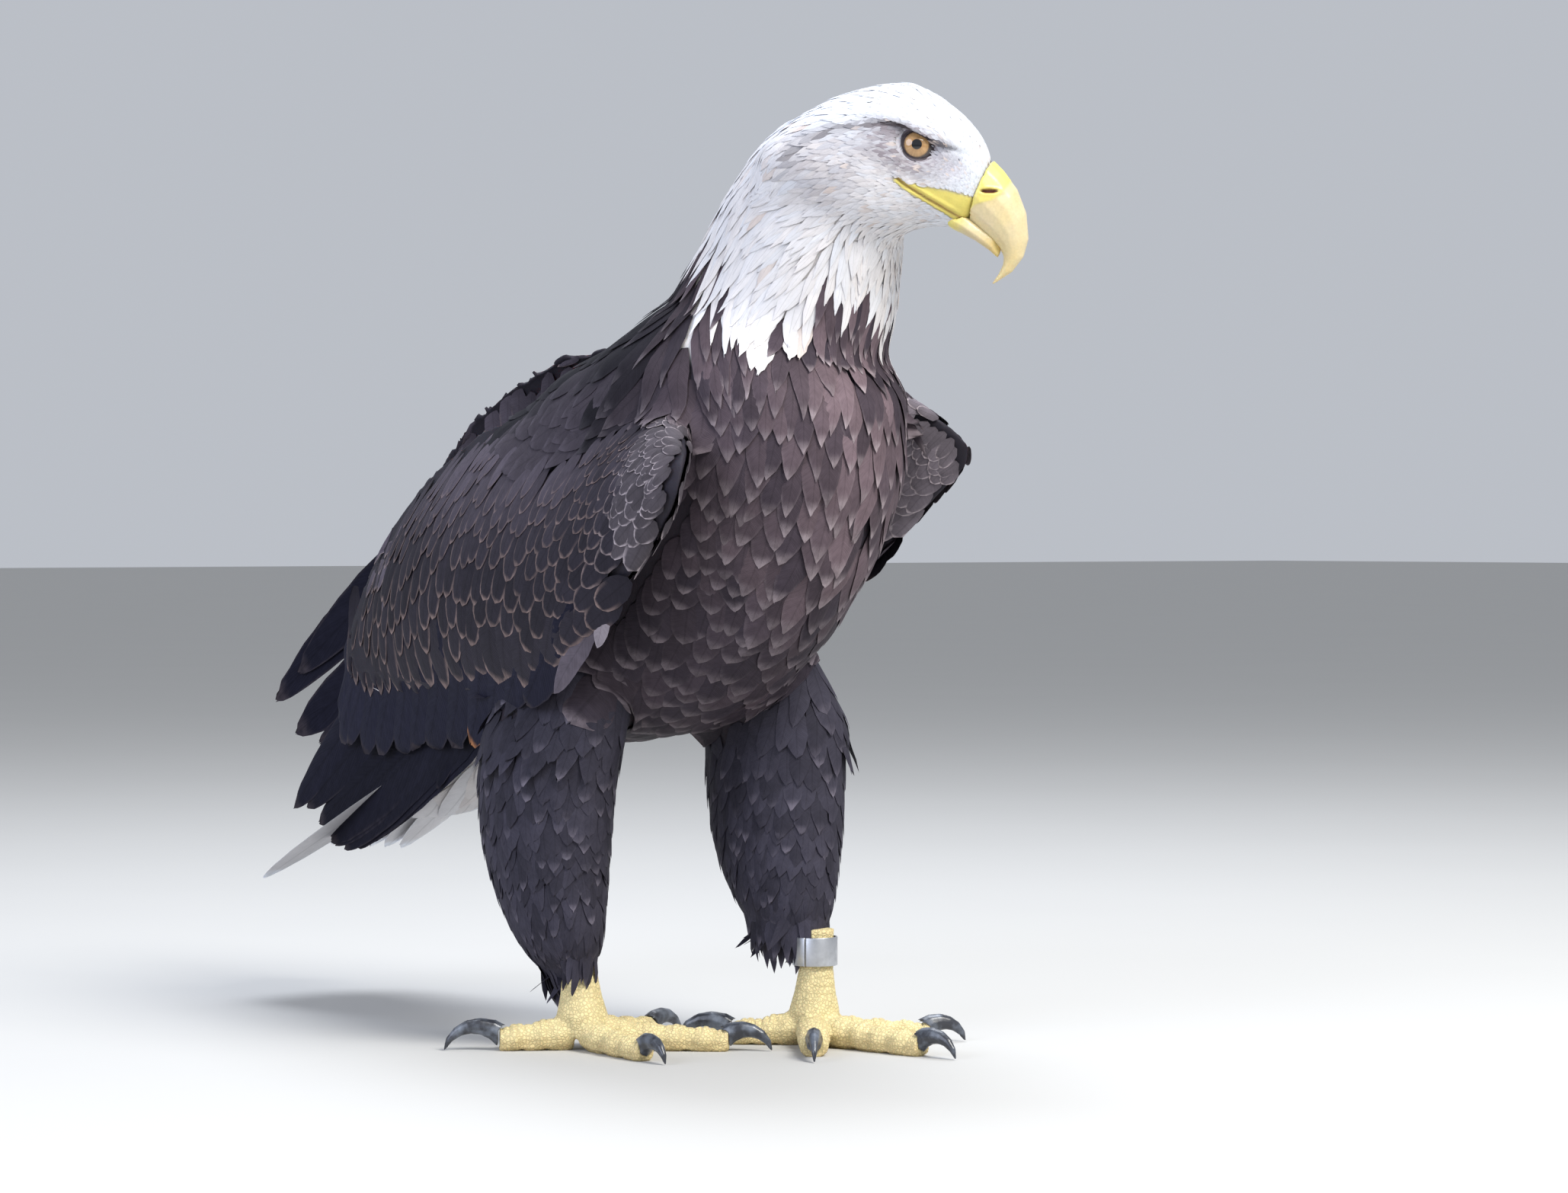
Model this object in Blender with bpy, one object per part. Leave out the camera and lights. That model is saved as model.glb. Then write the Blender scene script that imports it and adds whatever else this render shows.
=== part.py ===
"""Bald eagle, standing: the solids of a life-size still model.

The bird stands at the world's origin, faces -Y, and its own left is +X.  Every
number in the tables is in millimetres and is scaled to metres as it is read.
"""

import math

import bmesh
import bpy
from mathutils import Matrix, Vector
from mathutils.bvhtree import BVHTree

MM = 0.001
GAP = 0.5                     # clearance left where two solids meet, mm
FLOOR = 0.0                   # level of every pad and claw tip
CUTTER = "cutter_"            # what the name of a cutting copy starts with
THIN_SOLVER = "MANIFOLD"      # EXACT loses a toe or a shell that is cut this close

# ---------------------------------------------------------------- the colours
WHITE_PLUMAGE = (0.86, 0.87, 0.90)
BROWN_PLUMAGE = (0.055, 0.040, 0.036)
COVERT_BROWN = (0.085, 0.062, 0.052)
FLIGHT_BROWN = (0.028, 0.022, 0.024)
BILL_YELLOW = (0.83, 0.60, 0.24)
FOOT_YELLOW = (0.80, 0.66, 0.33)
CLAW_BLACK = (0.035, 0.036, 0.042)
EYE_STRAW = (0.62, 0.44, 0.22)
BAND_GREY = (0.62, 0.64, 0.66)

# ------------------------------------------------------------------ the trunk
# One rib a row: its front or lower end (y, z), its back or upper end (y, z)
# and half its width.  The ribs fan from the neck round the breast to the vent.
TRUNK_RIBS = (
    ((-104, 436), (-42, 450), 30),
    ((-136, 414), (-10, 441), 62),
    ((-155, 374), (28, 419), 86),
    ((-151, 326), (80, 405), 95),
    ((-129, 278), (122, 382), 96),
    ((-95, 238), (152, 342), 91),
    ((-50, 205), (172, 302), 81),
    ((4, 185), (184, 266), 68),
    ((62, 177), (190, 238), 52),
    ((118, 178), (190, 216), 34),
    ((146, 188), (184, 206), 14),
)

# ------------------------------------------------------------------- the neck
# Centre (x, y, z), half its depth, half its width, its turn and its lean.
NECK_RINGS = (
    ((2, -66, 404), 60, 58, 0, 22),
    ((5, -77, 424), 66, 63, 5, 26),
    ((9, -91, 447), 63, 59, 12, 30),
    ((9, -104, 470), 58, 56, 22, 33),
    ((8, -121, 495), 51, 49, 32, 36),
    ((8, -136, 513), 42, 40, 40, 40),
    ((8, -146, 521), 22, 22, 42, 42),
)

# ------------------------------------------------------------------- the head
HEAD_PLACE = (30, -177, 518)  # the point midway between the eyes
HEAD_YAW = 42                 # turned to the bird's left, degrees
HEAD_PITCH = 20               # bill lowered, degrees
# In the head's own frame: lower end (y, z), upper end (y, z), half width.
HEAD_RIBS = (
    ((-40, -26), (-41, 0), 8),
    ((-34, -33), (-38.5, 9), 14.5),
    ((-24, -36), (-28, 20), 21.5),
    ((-12, -41), (-14, 28), 27.5),
    ((-2, -50), (3, 33.5), 31.5),
    ((12, -58), (19, 35), 36),
    ((28, -62), (37, 28), 39),
    ((48, -62), (57, 13.5), 39.5),
    ((66, -58), (74, -5), 36),
    ((78, -50), (84, -20), 27),
    ((84, -42), (87, -30), 12),
)
# Bill: the same kind of rows, from the cere round the hook to the point.
UPPER_BILL_RIBS = (
    ((-33, -26), (-35, 9), 12.5),
    ((-36, -28), (-40, 8.4), 14.5),
    ((-44.5, -31), (-47, 5), 13.5),
    ((-52.5, -33.5), (-57.5, -2), 11.5),
    ((-59.5, -36.5), (-67, -13), 9.2),
    ((-63, -40), (-73, -26), 6.8),
    ((-64.2, -44.5), (-73.8, -36.5), 4.8),
    ((-63.6, -50.5), (-70.6, -46.5), 3.0),
    ((-61.8, -56.8), (-63.4, -56.0), 0.9),
)
LOWER_BILL_RIBS = (
    ((-18, -34), (-16, -24), 13.5),
    ((-27, -34.8), (-27, -25), 12.5),
    ((-36, -35.6), (-37, -27.6), 10.5),
    ((-45, -37), (-46, -30.6), 8.2),
    ((-54, -39.4), (-55, -33.4), 5.8),
    ((-60, -41.8), (-60.5, -38.4), 2.4),
)
EYE_CENTRE = (19.5, 1.6, 1.3)
EYE_RADIUS = 12.0

# -------------------------------------------------------------------- a wing
# Folded wing, right side.  One slice a row: its y, then upper edge (x, z),
# fullest x, lower edge (x, z), and its thickness.
WING_ARM_SLICES = (
    (-145, (-112, 341), -116, (-114, 324), 4),
    (-136, (-107, 350), -120, (-113, 315), 12),
    (-118, (-101, 360), -122, (-113, 298), 24),
    (-94, (-95, 370), -123, (-114, 275), 31),
    (-66, (-90, 376), -122, (-114, 248), 33),
    (-32, (-84, 380), -120, (-111, 224), 32),
    (28, (-70, 386), -114, (-102, 209), 28),
    (88, (-58, 382), -107, (-93, 205), 22),
    (148, (-51, 369), -97, (-83, 205), 16),
    (205, (-50, 341), -84, (-74, 204), 9),
    (246, (-50, 310), -72, (-66, 203), 5.5),
    (272, (-52, 276), -65, (-62, 204), 3),
    (286, (-55, 244), -60, (-60, 214), 1.6),
)
WING_SECONDARY_SLICES = (
    (-16, (-108, 236), -107, (-106, 221), 3),
    (30, (-102, 240), -101, (-99, 211), 4),
    (78, (-95, 238), -94, (-89, 195), 4),
    (136, (-84, 236), -84, (-79, 176), 4),
    (200, (-73, 238), -74, (-70, 170), 4),
    (255, (-63, 240), -66, (-62, 162), 3),
    (290, (-58, 222), -60, (-58, 161), 2.4),
    (314, (-55, 196), -56, (-55, 172), 1.2),
)
# Blades of the hand, each by its root, its point, its half width and its tilt.
WING_PRIMARIES = (
    ("outer", (-75, 104, 204), (-37, 322, 101), 18),
    ("middle", (-71, 126, 220), (-34, 352, 110), 21),
    ("inner", (-63, 140, 264), (-34, 384, 129), 35),
)
BLADE_THICKNESS = 2.2
BLADE_STEP = 3.2              # from one blade's face to the next one's

# The left wing is the right one mirrored, set back, lifted and swung inward.
LEFT_WING_SHIFT = (3, 28, 20)
LEFT_WING_LIFT = 5.9          # degrees, about the wrist
LEFT_WING_SWING = 7.0         # degrees, tips over the rump
WRIST = (-112, -120, 330)

# ------------------------------------------------------------------- the tail
# y, z of the middle, half width, half thickness, how far the edges trail.
TAIL_SLICES = (
    (138, 222, 26, 17),
    (165, 203, 38, 24),
    (205, 174, 46, 27),
    (245, 146, 54, 21),
    (290, 128, 62, 9),
    (345, 102, 72, 2.6),
    (382, 81, 77, 1.6),
    (395, 74, 63, 1.2),
    (401, 70, 36, 1.0),
)
TAIL_ROLL = 8                 # degrees, left edge higher

# ------------------------------------------------------------------- the legs
# Centre (x, y, z), half width across the bird, half depth fore and aft.
RIGHT_THIGH_RINGS = (
    ((-52, 36, 252), 24, 40),
    ((-57, 40, 226), 28, 50),
    ((-62, 43, 206), 31, 54),
    ((-68, 45, 186), 37, 55),
    ((-70, 50, 155), 36, 51),
    ((-69, 52, 120), 34, 47),
    ((-67, 50, 92), 30, 41),
    ((-65, 46, 70), 25, 34),
    ((-62, 44, 54), 18, 28),
    ((-61, 47, 44), 8, 16),
)
LEFT_THIGH_RINGS = (
    ((52, 14, 256), 24, 40),
    ((57, 11, 228), 28, 50),
    ((62, 9, 208), 33, 54),
    ((68, 7, 188), 38, 55),
    ((67, 6, 155), 36, 52),
    ((65, 2, 122), 34, 48),
    ((63, -4, 98), 30, 42),
    ((62, -11, 80), 25, 35),
    ((61, -18, 67), 16, 24),
)
RIGHT_FOOT = (-58, 29)
LEFT_FOOT = (63, -36)
TARSUS_RINGS = (              # height, radius
    (84, 8.6),
    (70, 9.0),
    (46, 9.6),
    (32, 11.6),
    (20, 14.5),
    (8, 12.0),
)
RIGHT_LEAN = (0, 8)           # how far a tarsus top stands from its foot, x and y
LEFT_LEAN = (2, -3)
# Digit: heading in degrees from straight ahead towards the bird's left,
# length of the toe, half width, length of the claw round its curve.
RIGHT_DIGITS = (
    ("hallux", 238, 44, 10.4, 44),
    ("inner_toe", 104, 56, 10.2, 40),
    ("middle_toe", 46, 80, 9.8, 36),
    ("outer_toe", -5, 64, 9.2, 32),
)
LEFT_DIGITS = (
    ("hallux", 227, 44, 10.4, 44),
    ("inner_toe", -38, 56, 10.2, 40),
    ("middle_toe", 9, 80, 9.8, 36),
    ("outer_toe", 62, 64, 9.2, 32),
)
TOE_START = 6.0               # the toes begin this far from the tarsus axis
TOE_SINK = 0.8                # a toe's axis stands this share of its depth high
TOE_RINGS = (                 # share of the length, height of the sole, width
    (0.00, 1.2, 0.88),
    (0.12, 0.0, 1.00),
    (0.28, 0.0, 1.00),
    (0.37, 1.3, 0.86),
    (0.46, 0.0, 0.94),
    (0.60, 0.0, 0.92),
    (0.69, 1.2, 0.78),
    (0.79, 0.0, 0.86),
    (0.93, 0.0, 0.82),
    (1.00, 1.0, 0.66),
)
CLAW_BEND = 115               # degrees that a claw turns through
CLAW_ROOT = 6.2               # radius of a claw at the toe
BAND_HEIGHTS = (47.5, 64.5)
BAND_OUTER = 13.4
BAND_WALL = 1.0
BAND_SHIFT = (-0.9, 0.7)      # the loose ring hangs a little to one side


def vec(x, y, z):
    return Vector((x, y, z)) * MM


def empty_the_file():
    for obj in list(bpy.data.objects):
        bpy.data.objects.remove(obj)


def new_collection(name):
    collection = bpy.data.collections.new(name)
    bpy.context.scene.collection.children.link(collection)
    return collection


def material(name, colour, roughness, metallic=0.0):
    made = bpy.data.materials.new(name)
    made.use_nodes = True
    shader = made.node_tree.nodes["Principled BSDF"]
    shader.inputs["Base Color"].default_value = (*colour, 1.0)
    shader.inputs["Roughness"].default_value = roughness
    shader.inputs["Metallic"].default_value = metallic
    return made


def add_part(name, bm, finish):
    """Turn a bmesh into an object of the eagle, faces pointing out."""
    bmesh.ops.triangulate(bm, faces=bm.faces)
    bmesh.ops.recalc_face_normals(bm, faces=bm.faces)
    mesh = bpy.data.meshes.new(name)
    bm.to_mesh(mesh)
    bm.free()
    mesh.shade_smooth()
    obj = bpy.data.objects.new(name, mesh)
    mesh.materials.append(finish)
    bpy.data.collections["bald_eagle"].objects.link(obj)
    add_cutter(obj)
    return obj


def add_cutter(obj):
    """Keep a copy of a part, swollen by the clearance, to cut others with."""
    mesh = obj.data.copy()
    for vert in mesh.vertices:
        vert.co += vert.normal * GAP * MM
    cutter = bpy.data.objects.new(CUTTER + obj.name, mesh)
    cutter.hide_render = True
    cutter.display_type = "WIRE"
    bpy.data.collections["cutters"].objects.link(cutter)


def loft(name, rings, finish):
    """Skin a list of equal rings and close each end with a strip of faces."""
    bm = bmesh.new()
    rows = [[bm.verts.new(point) for point in ring] for ring in rings]
    count = len(rings[0])
    for lower, upper in zip(rows, rows[1:]):
        for i in range(count):
            j = (i + 1) % count
            bm.faces.new((lower[i], lower[j], upper[j], upper[i]))
    for row in (rows[0], rows[-1]):
        for i in range(count // 2 - 1):
            bm.faces.new((row[i], row[i + 1], row[count - 2 - i], row[count - 1 - i]))
    return add_part(name, bm, finish)


def rib(low, high, half_width, sides, place=None):
    """An ellipse between two points of the middle plane."""
    centre = vec(0, (low[0] + high[0]) / 2, (low[1] + high[1]) / 2)
    reach = vec(0, (low[0] - high[0]) / 2, (low[1] - high[1]) / 2)
    across = vec(half_width, 0, 0)
    ring = []
    for i in range(sides):
        turn = 2 * math.pi * i / sides
        point = centre + reach * math.cos(turn) + across * math.sin(turn)
        ring.append(place @ point if place else point)
    return ring


def disc(centre, half_depth, half_width, yaw, lean, sides):
    """An ellipse about a centre, turned about Z and leant forward."""
    turn = Matrix.Rotation(math.radians(yaw), 3, "Z")
    turn = turn @ Matrix.Rotation(math.radians(lean), 3, "X")
    ring = []
    for i in range(sides):
        t = 2 * math.pi * i / sides
        flat = vec(half_width * math.sin(t), -half_depth * math.cos(t), 0)
        ring.append(vec(*centre) + turn @ flat)
    return ring


def head_place():
    turn = Matrix.Rotation(math.radians(HEAD_YAW), 4, "Z")
    turn = turn @ Matrix.Rotation(math.radians(HEAD_PITCH), 4, "X")
    return Matrix.Translation(vec(*HEAD_PLACE)) @ turn


def evaluated_copy(obj):
    graph = bpy.context.evaluated_depsgraph_get()
    return bpy.data.meshes.new_from_object(obj.evaluated_get(graph))


def keep_largest_piece(mesh):
    """Drop the crumbs that a cut can leave beside the solid."""
    bm = bmesh.new()
    bm.from_mesh(mesh)
    unseen = set(bm.verts)
    pieces = []
    while unseen:
        piece = set()
        front = [unseen.pop()]
        while front:
            vert = front.pop()
            piece.add(vert)
            for edge in vert.link_edges:
                other = edge.other_vert(vert)
                if other in unseen:
                    unseen.remove(other)
                    front.append(other)
        pieces.append(piece)
    pieces.sort(key=len)
    for piece in pieces[:-1]:
        bmesh.ops.delete(bm, geom=list(piece), context="VERTS")
    bm.to_mesh(mesh)
    bm.free()


def surface_tree(obj):
    bm = bmesh.new()
    bm.from_mesh(obj.data)
    tree = BVHTree.FromBMesh(bm)
    bm.free()
    return tree


def carve(target, neighbours, solver="EXACT"):
    """Cut the swollen shape of each neighbour that a solid meets out of it."""
    for neighbour in neighbours:
        cutter = bpy.data.objects[CUTTER + neighbour.name]
        if not surface_tree(target).overlap(surface_tree(cutter)):
            continue
        cut = target.modifiers.new("clear_of_" + neighbour.name, "BOOLEAN")
        cut.operation = "DIFFERENCE"
        cut.solver = solver
        cut.object = cutter
        bpy.context.view_layer.update()
        cleared = evaluated_copy(target)
        target.modifiers.remove(cut)
        target.data = cleared
        keep_largest_piece(cleared)


def make_trunk(finish):
    rings = [rib(low, high, width, 24) for low, high, width in TRUNK_RIBS]
    return loft("trunk", rings, finish)


def make_neck(finish):
    rings = [disc(*row, 20) for row in NECK_RINGS]
    return loft("neck", rings, finish)


def make_head(finish):
    place = head_place()
    rings = [rib(low, high, width, 20, place) for low, high, width in HEAD_RIBS]
    return loft("head", rings, finish)


def make_bill(name, ribs, sides, finish):
    place = head_place()
    rings = [rib(low, high, width, sides, place) for low, high, width in ribs]
    return loft(name, rings, finish)


def make_eye(name, side, finish):
    x, y, z = EYE_CENTRE
    bm = bmesh.new()
    bmesh.ops.create_icosphere(bm, subdivisions=2, radius=EYE_RADIUS * MM)
    spot = head_place() @ vec(side * x, y, z)
    bmesh.ops.translate(bm, verts=bm.verts, vec=spot)
    return add_part(name, bm, finish)


def left_wing_place():
    """Carries the right wing's shape over to the left side of the bird."""
    wrist = vec(*WRIST)
    lift = Matrix.Rotation(math.radians(LEFT_WING_LIFT), 4, "X")
    swing = Matrix.Rotation(math.radians(-LEFT_WING_SWING), 4, "Z")
    pivot = Matrix.Translation(wrist) @ swing @ lift @ Matrix.Translation(-wrist)
    mirror = Matrix.Diagonal((-1, 1, 1, 1))
    return Matrix.Translation(vec(*LEFT_WING_SHIFT)) @ mirror @ pivot


def shell_ring(y, top, full, low, thickness):
    """A slice of the folded wing: bowed outer face, inner face behind it."""
    steps = 6
    outer = []
    inner = []
    for i in range(steps + 1):
        t = i / steps
        ctrl_x = 2 * full - (top[0] + low[0]) / 2
        x = (1 - t) ** 2 * top[0] + 2 * t * (1 - t) * ctrl_x + t * t * low[0]
        z = top[1] + (low[1] - top[1]) * t
        bowed = 0.12 + 0.88 * math.sin(math.pi * t) ** 0.6
        depth = thickness * (bowed + 0.45 * (1 - t) ** 2)
        outer.append(vec(x, y, z))
        inner.append(vec(x + depth, y, z))
    return outer + inner[::-1]


def make_shell(name, slices, place, finish):
    rings = []
    for row in slices:
        rings.append([place @ point for point in shell_ring(*row)])
    return loft(name, rings, finish)


def make_blade(name, root, tip, half_width, inset, place, finish):
    """A long flat feather of the hand, rounded to its point."""
    start = vec(*root)
    end = vec(*tip)
    along = end - start
    face = Vector((-1.0, -0.12, 0.1)).normalized()
    across = face.cross(along).normalized()
    outline = ((0.0, 0.6), (0.35, 1.0), (0.65, 0.95), (0.85, 0.75), (0.95, 0.45), (1.0, 0.12))
    rings = []
    for t, share in outline:
        middle = start + along * t - face * inset * MM
        side = across * half_width * share * MM
        thick = face * BLADE_THICKNESS * MM * (1.0 - 0.55 * t) / 2
        ring = (middle - side, middle + thick, middle + side, middle - thick)
        rings.append([place @ point for point in ring])
    return loft(name, rings, finish)


def make_wing(side, place, covert, flight):
    parts = {}
    arm = make_shell(f"wing_{side}_arm", WING_ARM_SLICES, place, covert)
    parts["arm"] = arm
    row = make_shell(f"wing_{side}_secondaries", WING_SECONDARY_SLICES, place, flight)
    parts["secondaries"] = row
    for order, (label, root, tip, width) in enumerate(WING_PRIMARIES):
        inset = BLADE_STEP * order
        name = f"wing_{side}_primaries_{label}"
        parts[label] = make_blade(name, root, tip, width, inset, place, flight)
    return parts


def make_tail(finish):
    turn = Matrix.Rotation(math.radians(-TAIL_ROLL), 3, "Y")
    rings = []
    for y, z, half_width, half_thick in TAIL_SLICES:
        ring = []
        for i in range(14):
            t = 2 * math.pi * i / 14
            flat = vec(half_width * math.cos(t), 0, half_thick * math.sin(t))
            ring.append(vec(0, y, z) + turn @ flat)
        rings.append(ring)
    return loft("tail", rings, finish)


def make_thigh(name, table, finish):
    rings = [disc(centre, depth, width, 0, 0, 16) for centre, width, depth in table]
    return loft(name, rings, finish)


def make_tarsus(name, foot, lean, finish):
    top = TARSUS_RINGS[0][0]
    low = TARSUS_RINGS[-1][0]
    rings = []
    for height, radius in TARSUS_RINGS:
        share = (height - low) / (top - low)
        x = foot[0] + lean[0] * share
        y = foot[1] + lean[1] * share
        rings.append(disc((x, y, height), radius * 1.1, radius, 0, 0, 12))
    return loft(name, rings, finish)


def heading(degrees):
    turn = math.radians(degrees)
    return Vector((math.sin(turn), -math.cos(turn), 0))


def make_toe(name, foot, angle, length, half_width, finish):
    """A toe whose three pads rest on small flats, with creases between them."""
    ahead = heading(angle)
    side = Vector((0, 0, 1)).cross(ahead)
    rings = []
    for t, sole, swell in TOE_RINGS:
        width = half_width * swell
        height = half_width * (1.0 - 0.24 * t)
        middle = height * TOE_SINK + half_width * 0.25 * (1 - t) ** 2
        centre = vec(foot[0], foot[1], middle) + ahead * (TOE_START + length * t) * MM
        ring = []
        for k in range(10):
            turn = 2 * math.pi * k / 10
            point = centre + side * math.cos(turn) * width * MM
            point.z += math.sin(turn) * height * MM
            if math.sin(turn) < -TOE_SINK:
                point.z = FLOOR + sole * MM
            ring.append(point)
        rings.append(ring)
    return loft(name, rings, finish)


def make_claw(name, foot, angle, length, toe_length, half_width, finish):
    """A claw: a tapering arc from the toe's end down to the floor."""
    ahead = heading(angle)
    side = Vector((0, 0, 1)).cross(ahead)
    bend = math.radians(CLAW_BEND)
    radius = length / bend
    rise = math.radians(38)
    steps = 7
    start_z = 8.0
    points = []
    for i in range(steps):
        turn = bend * i / (steps - 1)
        out = radius * (math.sin(turn - rise) + math.sin(rise))
        up = radius * (math.cos(turn - rise) - math.cos(rise))
        points.append((out, up, turn - rise))
    drop = min(up for out, up, tilt in points)
    rings = []
    for i, (out, up, tilt) in enumerate(points):
        t = i / (steps - 1)
        thick = CLAW_ROOT * (1 - t) ** 0.8 + 0.7
        level = start_z * (1 - t) + (up - drop * t) + 0.6 * t
        reach = TOE_START + toe_length - 3.0 + out
        centre = vec(foot[0], foot[1], level) + ahead * reach * MM
        normal = ahead * math.sin(tilt) + Vector((0, 0, math.cos(tilt)))
        ring = []
        for k in range(8):
            turn = 2 * math.pi * k / 8
            point = centre + side * math.cos(turn) * thick * 0.85 * MM
            point += normal * math.sin(turn) * thick * MM
            point.z = max(point.z, FLOOR)
            ring.append(point)
        rings.append(ring)
    return loft(name, rings, finish)


def make_foot(side, foot, digits, skin, horn):
    toes = []
    claws = []
    for label, angle, length, half_width, claw in digits:
        toe = make_toe(f"foot_{side}_{label}", foot, angle, length, half_width, skin)
        toes.append(toe)
        name = f"foot_{side}_{label}_claw"
        nail = make_claw(name, foot, angle, claw, length, half_width, horn)
        claws.append(nail)
    return toes, claws


def make_band(foot, lean, finish):
    """A plain metal ring: a turned wall round the left tarsus."""
    low, high = BAND_HEIGHTS
    share = ((low + high) / 2 - TARSUS_RINGS[-1][0])
    share /= TARSUS_RINGS[0][0] - TARSUS_RINGS[-1][0]
    x = foot[0] + lean[0] * share
    y = foot[1] + lean[1] * share
    x += BAND_SHIFT[0]
    y += BAND_SHIFT[1]
    bm = bmesh.new()
    inner = BAND_OUTER - BAND_WALL
    corners = ((inner, low), (BAND_OUTER, low), (BAND_OUTER, high), (inner, high))
    sides = 32
    rows = []
    for i in range(sides):
        turn = 2 * math.pi * i / sides
        row = []
        for radius, height in corners:
            spot = vec(radius * math.cos(turn), radius * math.sin(turn), height)
            row.append(bm.verts.new(spot + vec(x, y, 0)))
        rows.append(row)
    for i in range(sides):
        here = rows[i]
        there = rows[(i + 1) % sides]
        for k in range(4):
            m = (k + 1) % 4
            bm.faces.new((here[k], there[k], there[m], here[m]))
    return add_part("leg_band", bm, finish)


def centre_on_the_floor():
    """Hang every part on one empty that brings the whole to the origin."""
    bpy.context.view_layer.update()
    parts = list(bpy.data.collections["bald_eagle"].objects)
    corners = [vert.co for part in parts for vert in part.data.vertices]
    low = Vector([min(corner[axis] for corner in corners) for axis in range(3)])
    high = Vector([max(corner[axis] for corner in corners) for axis in range(3)])
    origin = bpy.data.objects.new("eagle_origin", None)
    bpy.context.scene.collection.objects.link(origin)
    origin.location = (-(low.x + high.x) / 2, -(low.y + high.y) / 2, -low.z)
    for part in parts:
        part.parent = origin


def main():
    empty_the_file()
    new_collection("bald_eagle")
    new_collection("cutters")
    white = material("white_plumage", WHITE_PLUMAGE, 0.75)
    brown = material("brown_plumage", BROWN_PLUMAGE, 0.7)
    covert = material("covert_plumage", COVERT_BROWN, 0.65)
    flight = material("flight_feather", FLIGHT_BROWN, 0.5)
    yellow = material("bill_horn", BILL_YELLOW, 0.4)
    scales = material("foot_skin", FOOT_YELLOW, 0.55)
    horn = material("claw_horn", CLAW_BLACK, 0.3)
    straw = material("eye", EYE_STRAW, 0.08)
    metal = material("band_metal", BAND_GREY, 0.35, 1.0)

    trunk = make_trunk(brown)
    neck = make_neck(white)
    head = make_head(white)
    upper = make_bill("bill_upper", UPPER_BILL_RIBS, 14, yellow)
    lower = make_bill("bill_lower", LOWER_BILL_RIBS, 12, yellow)
    eyes = [make_eye("eye_right", -1, straw), make_eye("eye_left", 1, straw)]
    right = make_wing("right", Matrix.Identity(4), covert, flight)
    left = make_wing("left", left_wing_place(), covert, flight)
    tail = make_tail(white)
    thighs = [
        make_thigh("thigh_right", RIGHT_THIGH_RINGS, brown),
        make_thigh("thigh_left", LEFT_THIGH_RINGS, brown),
    ]
    tarsi = [
        make_tarsus("tarsus_right", RIGHT_FOOT, RIGHT_LEAN, scales),
        make_tarsus("tarsus_left", LEFT_FOOT, LEFT_LEAN, scales),
    ]
    make_band(LEFT_FOOT, LEFT_LEAN, metal)
    feet = [
        make_foot("right", RIGHT_FOOT, RIGHT_DIGITS, scales, horn),
        make_foot("left", LEFT_FOOT, LEFT_DIGITS, scales, horn),
    ]

    carve(head, eyes)
    carve(neck, [trunk, head])
    carve(upper, [head])
    carve(lower, [head, upper])
    carve(tail, [trunk])
    for wing, thigh in zip((right, left), thighs):
        carve(wing["arm"], [trunk, neck], THIN_SOLVER)
        carve(thigh, [trunk, tail, wing["arm"]])
        carve(wing["secondaries"], [trunk, thigh, wing["arm"]], THIN_SOLVER)
        before = [trunk, tail, wing["arm"], wing["secondaries"]]
        for label in ("outer", "middle", "inner"):
            carve(wing[label], before, THIN_SOLVER)
            before.append(wing[label])
    for thigh, tarsus, (toes, claws) in zip(thighs, tarsi, feet):
        carve(tarsus, [thigh])
        before = [tarsus]
        for toe, claw in zip(toes, claws):
            carve(toe, before, THIN_SOLVER)
            before.append(toe)
            carve(claw, [toe], THIN_SOLVER)
    centre_on_the_floor()


if __name__ == "__main__":
    main()
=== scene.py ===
"""Bald eagle, standing: skin, feathers, horn and the stage it is shown on."""

import math
from contextlib import contextmanager
from functools import partial
from itertools import product

import bmesh
import bpy
import numpy as np
from mathutils import Matrix, Vector
from mathutils.bvhtree import BVHTree
from mathutils.kdtree import KDTree


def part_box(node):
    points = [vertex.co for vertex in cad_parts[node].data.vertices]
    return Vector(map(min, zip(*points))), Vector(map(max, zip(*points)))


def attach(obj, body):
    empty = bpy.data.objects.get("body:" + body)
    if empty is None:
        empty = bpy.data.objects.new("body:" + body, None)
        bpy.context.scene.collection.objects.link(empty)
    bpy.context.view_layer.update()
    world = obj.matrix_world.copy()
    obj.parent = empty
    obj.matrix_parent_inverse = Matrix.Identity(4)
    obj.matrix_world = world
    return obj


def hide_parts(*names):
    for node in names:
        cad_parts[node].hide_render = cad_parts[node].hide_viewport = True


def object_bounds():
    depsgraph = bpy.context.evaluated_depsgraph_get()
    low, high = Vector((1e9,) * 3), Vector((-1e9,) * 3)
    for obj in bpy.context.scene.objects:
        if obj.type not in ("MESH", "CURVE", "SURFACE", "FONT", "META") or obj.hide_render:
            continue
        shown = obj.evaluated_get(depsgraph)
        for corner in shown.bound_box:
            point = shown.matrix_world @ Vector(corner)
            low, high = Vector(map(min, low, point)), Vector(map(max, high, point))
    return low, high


bl_info = {
    "name": "Bald eagle",
    "version": (1, 0, 0),
    "blender": (4, 5, 0),
    "location": "View3D > Sidebar > Eagle",
    "description": "Dresses the solids of a standing bald eagle",
    "category": "Object",
}

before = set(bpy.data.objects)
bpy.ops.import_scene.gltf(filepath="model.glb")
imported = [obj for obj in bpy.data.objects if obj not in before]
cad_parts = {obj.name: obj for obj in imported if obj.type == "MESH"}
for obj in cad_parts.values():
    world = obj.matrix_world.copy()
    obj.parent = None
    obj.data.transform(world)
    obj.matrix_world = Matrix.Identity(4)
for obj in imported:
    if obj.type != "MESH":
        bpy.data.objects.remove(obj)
CAD_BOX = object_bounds()
MM = 0.001

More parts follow.
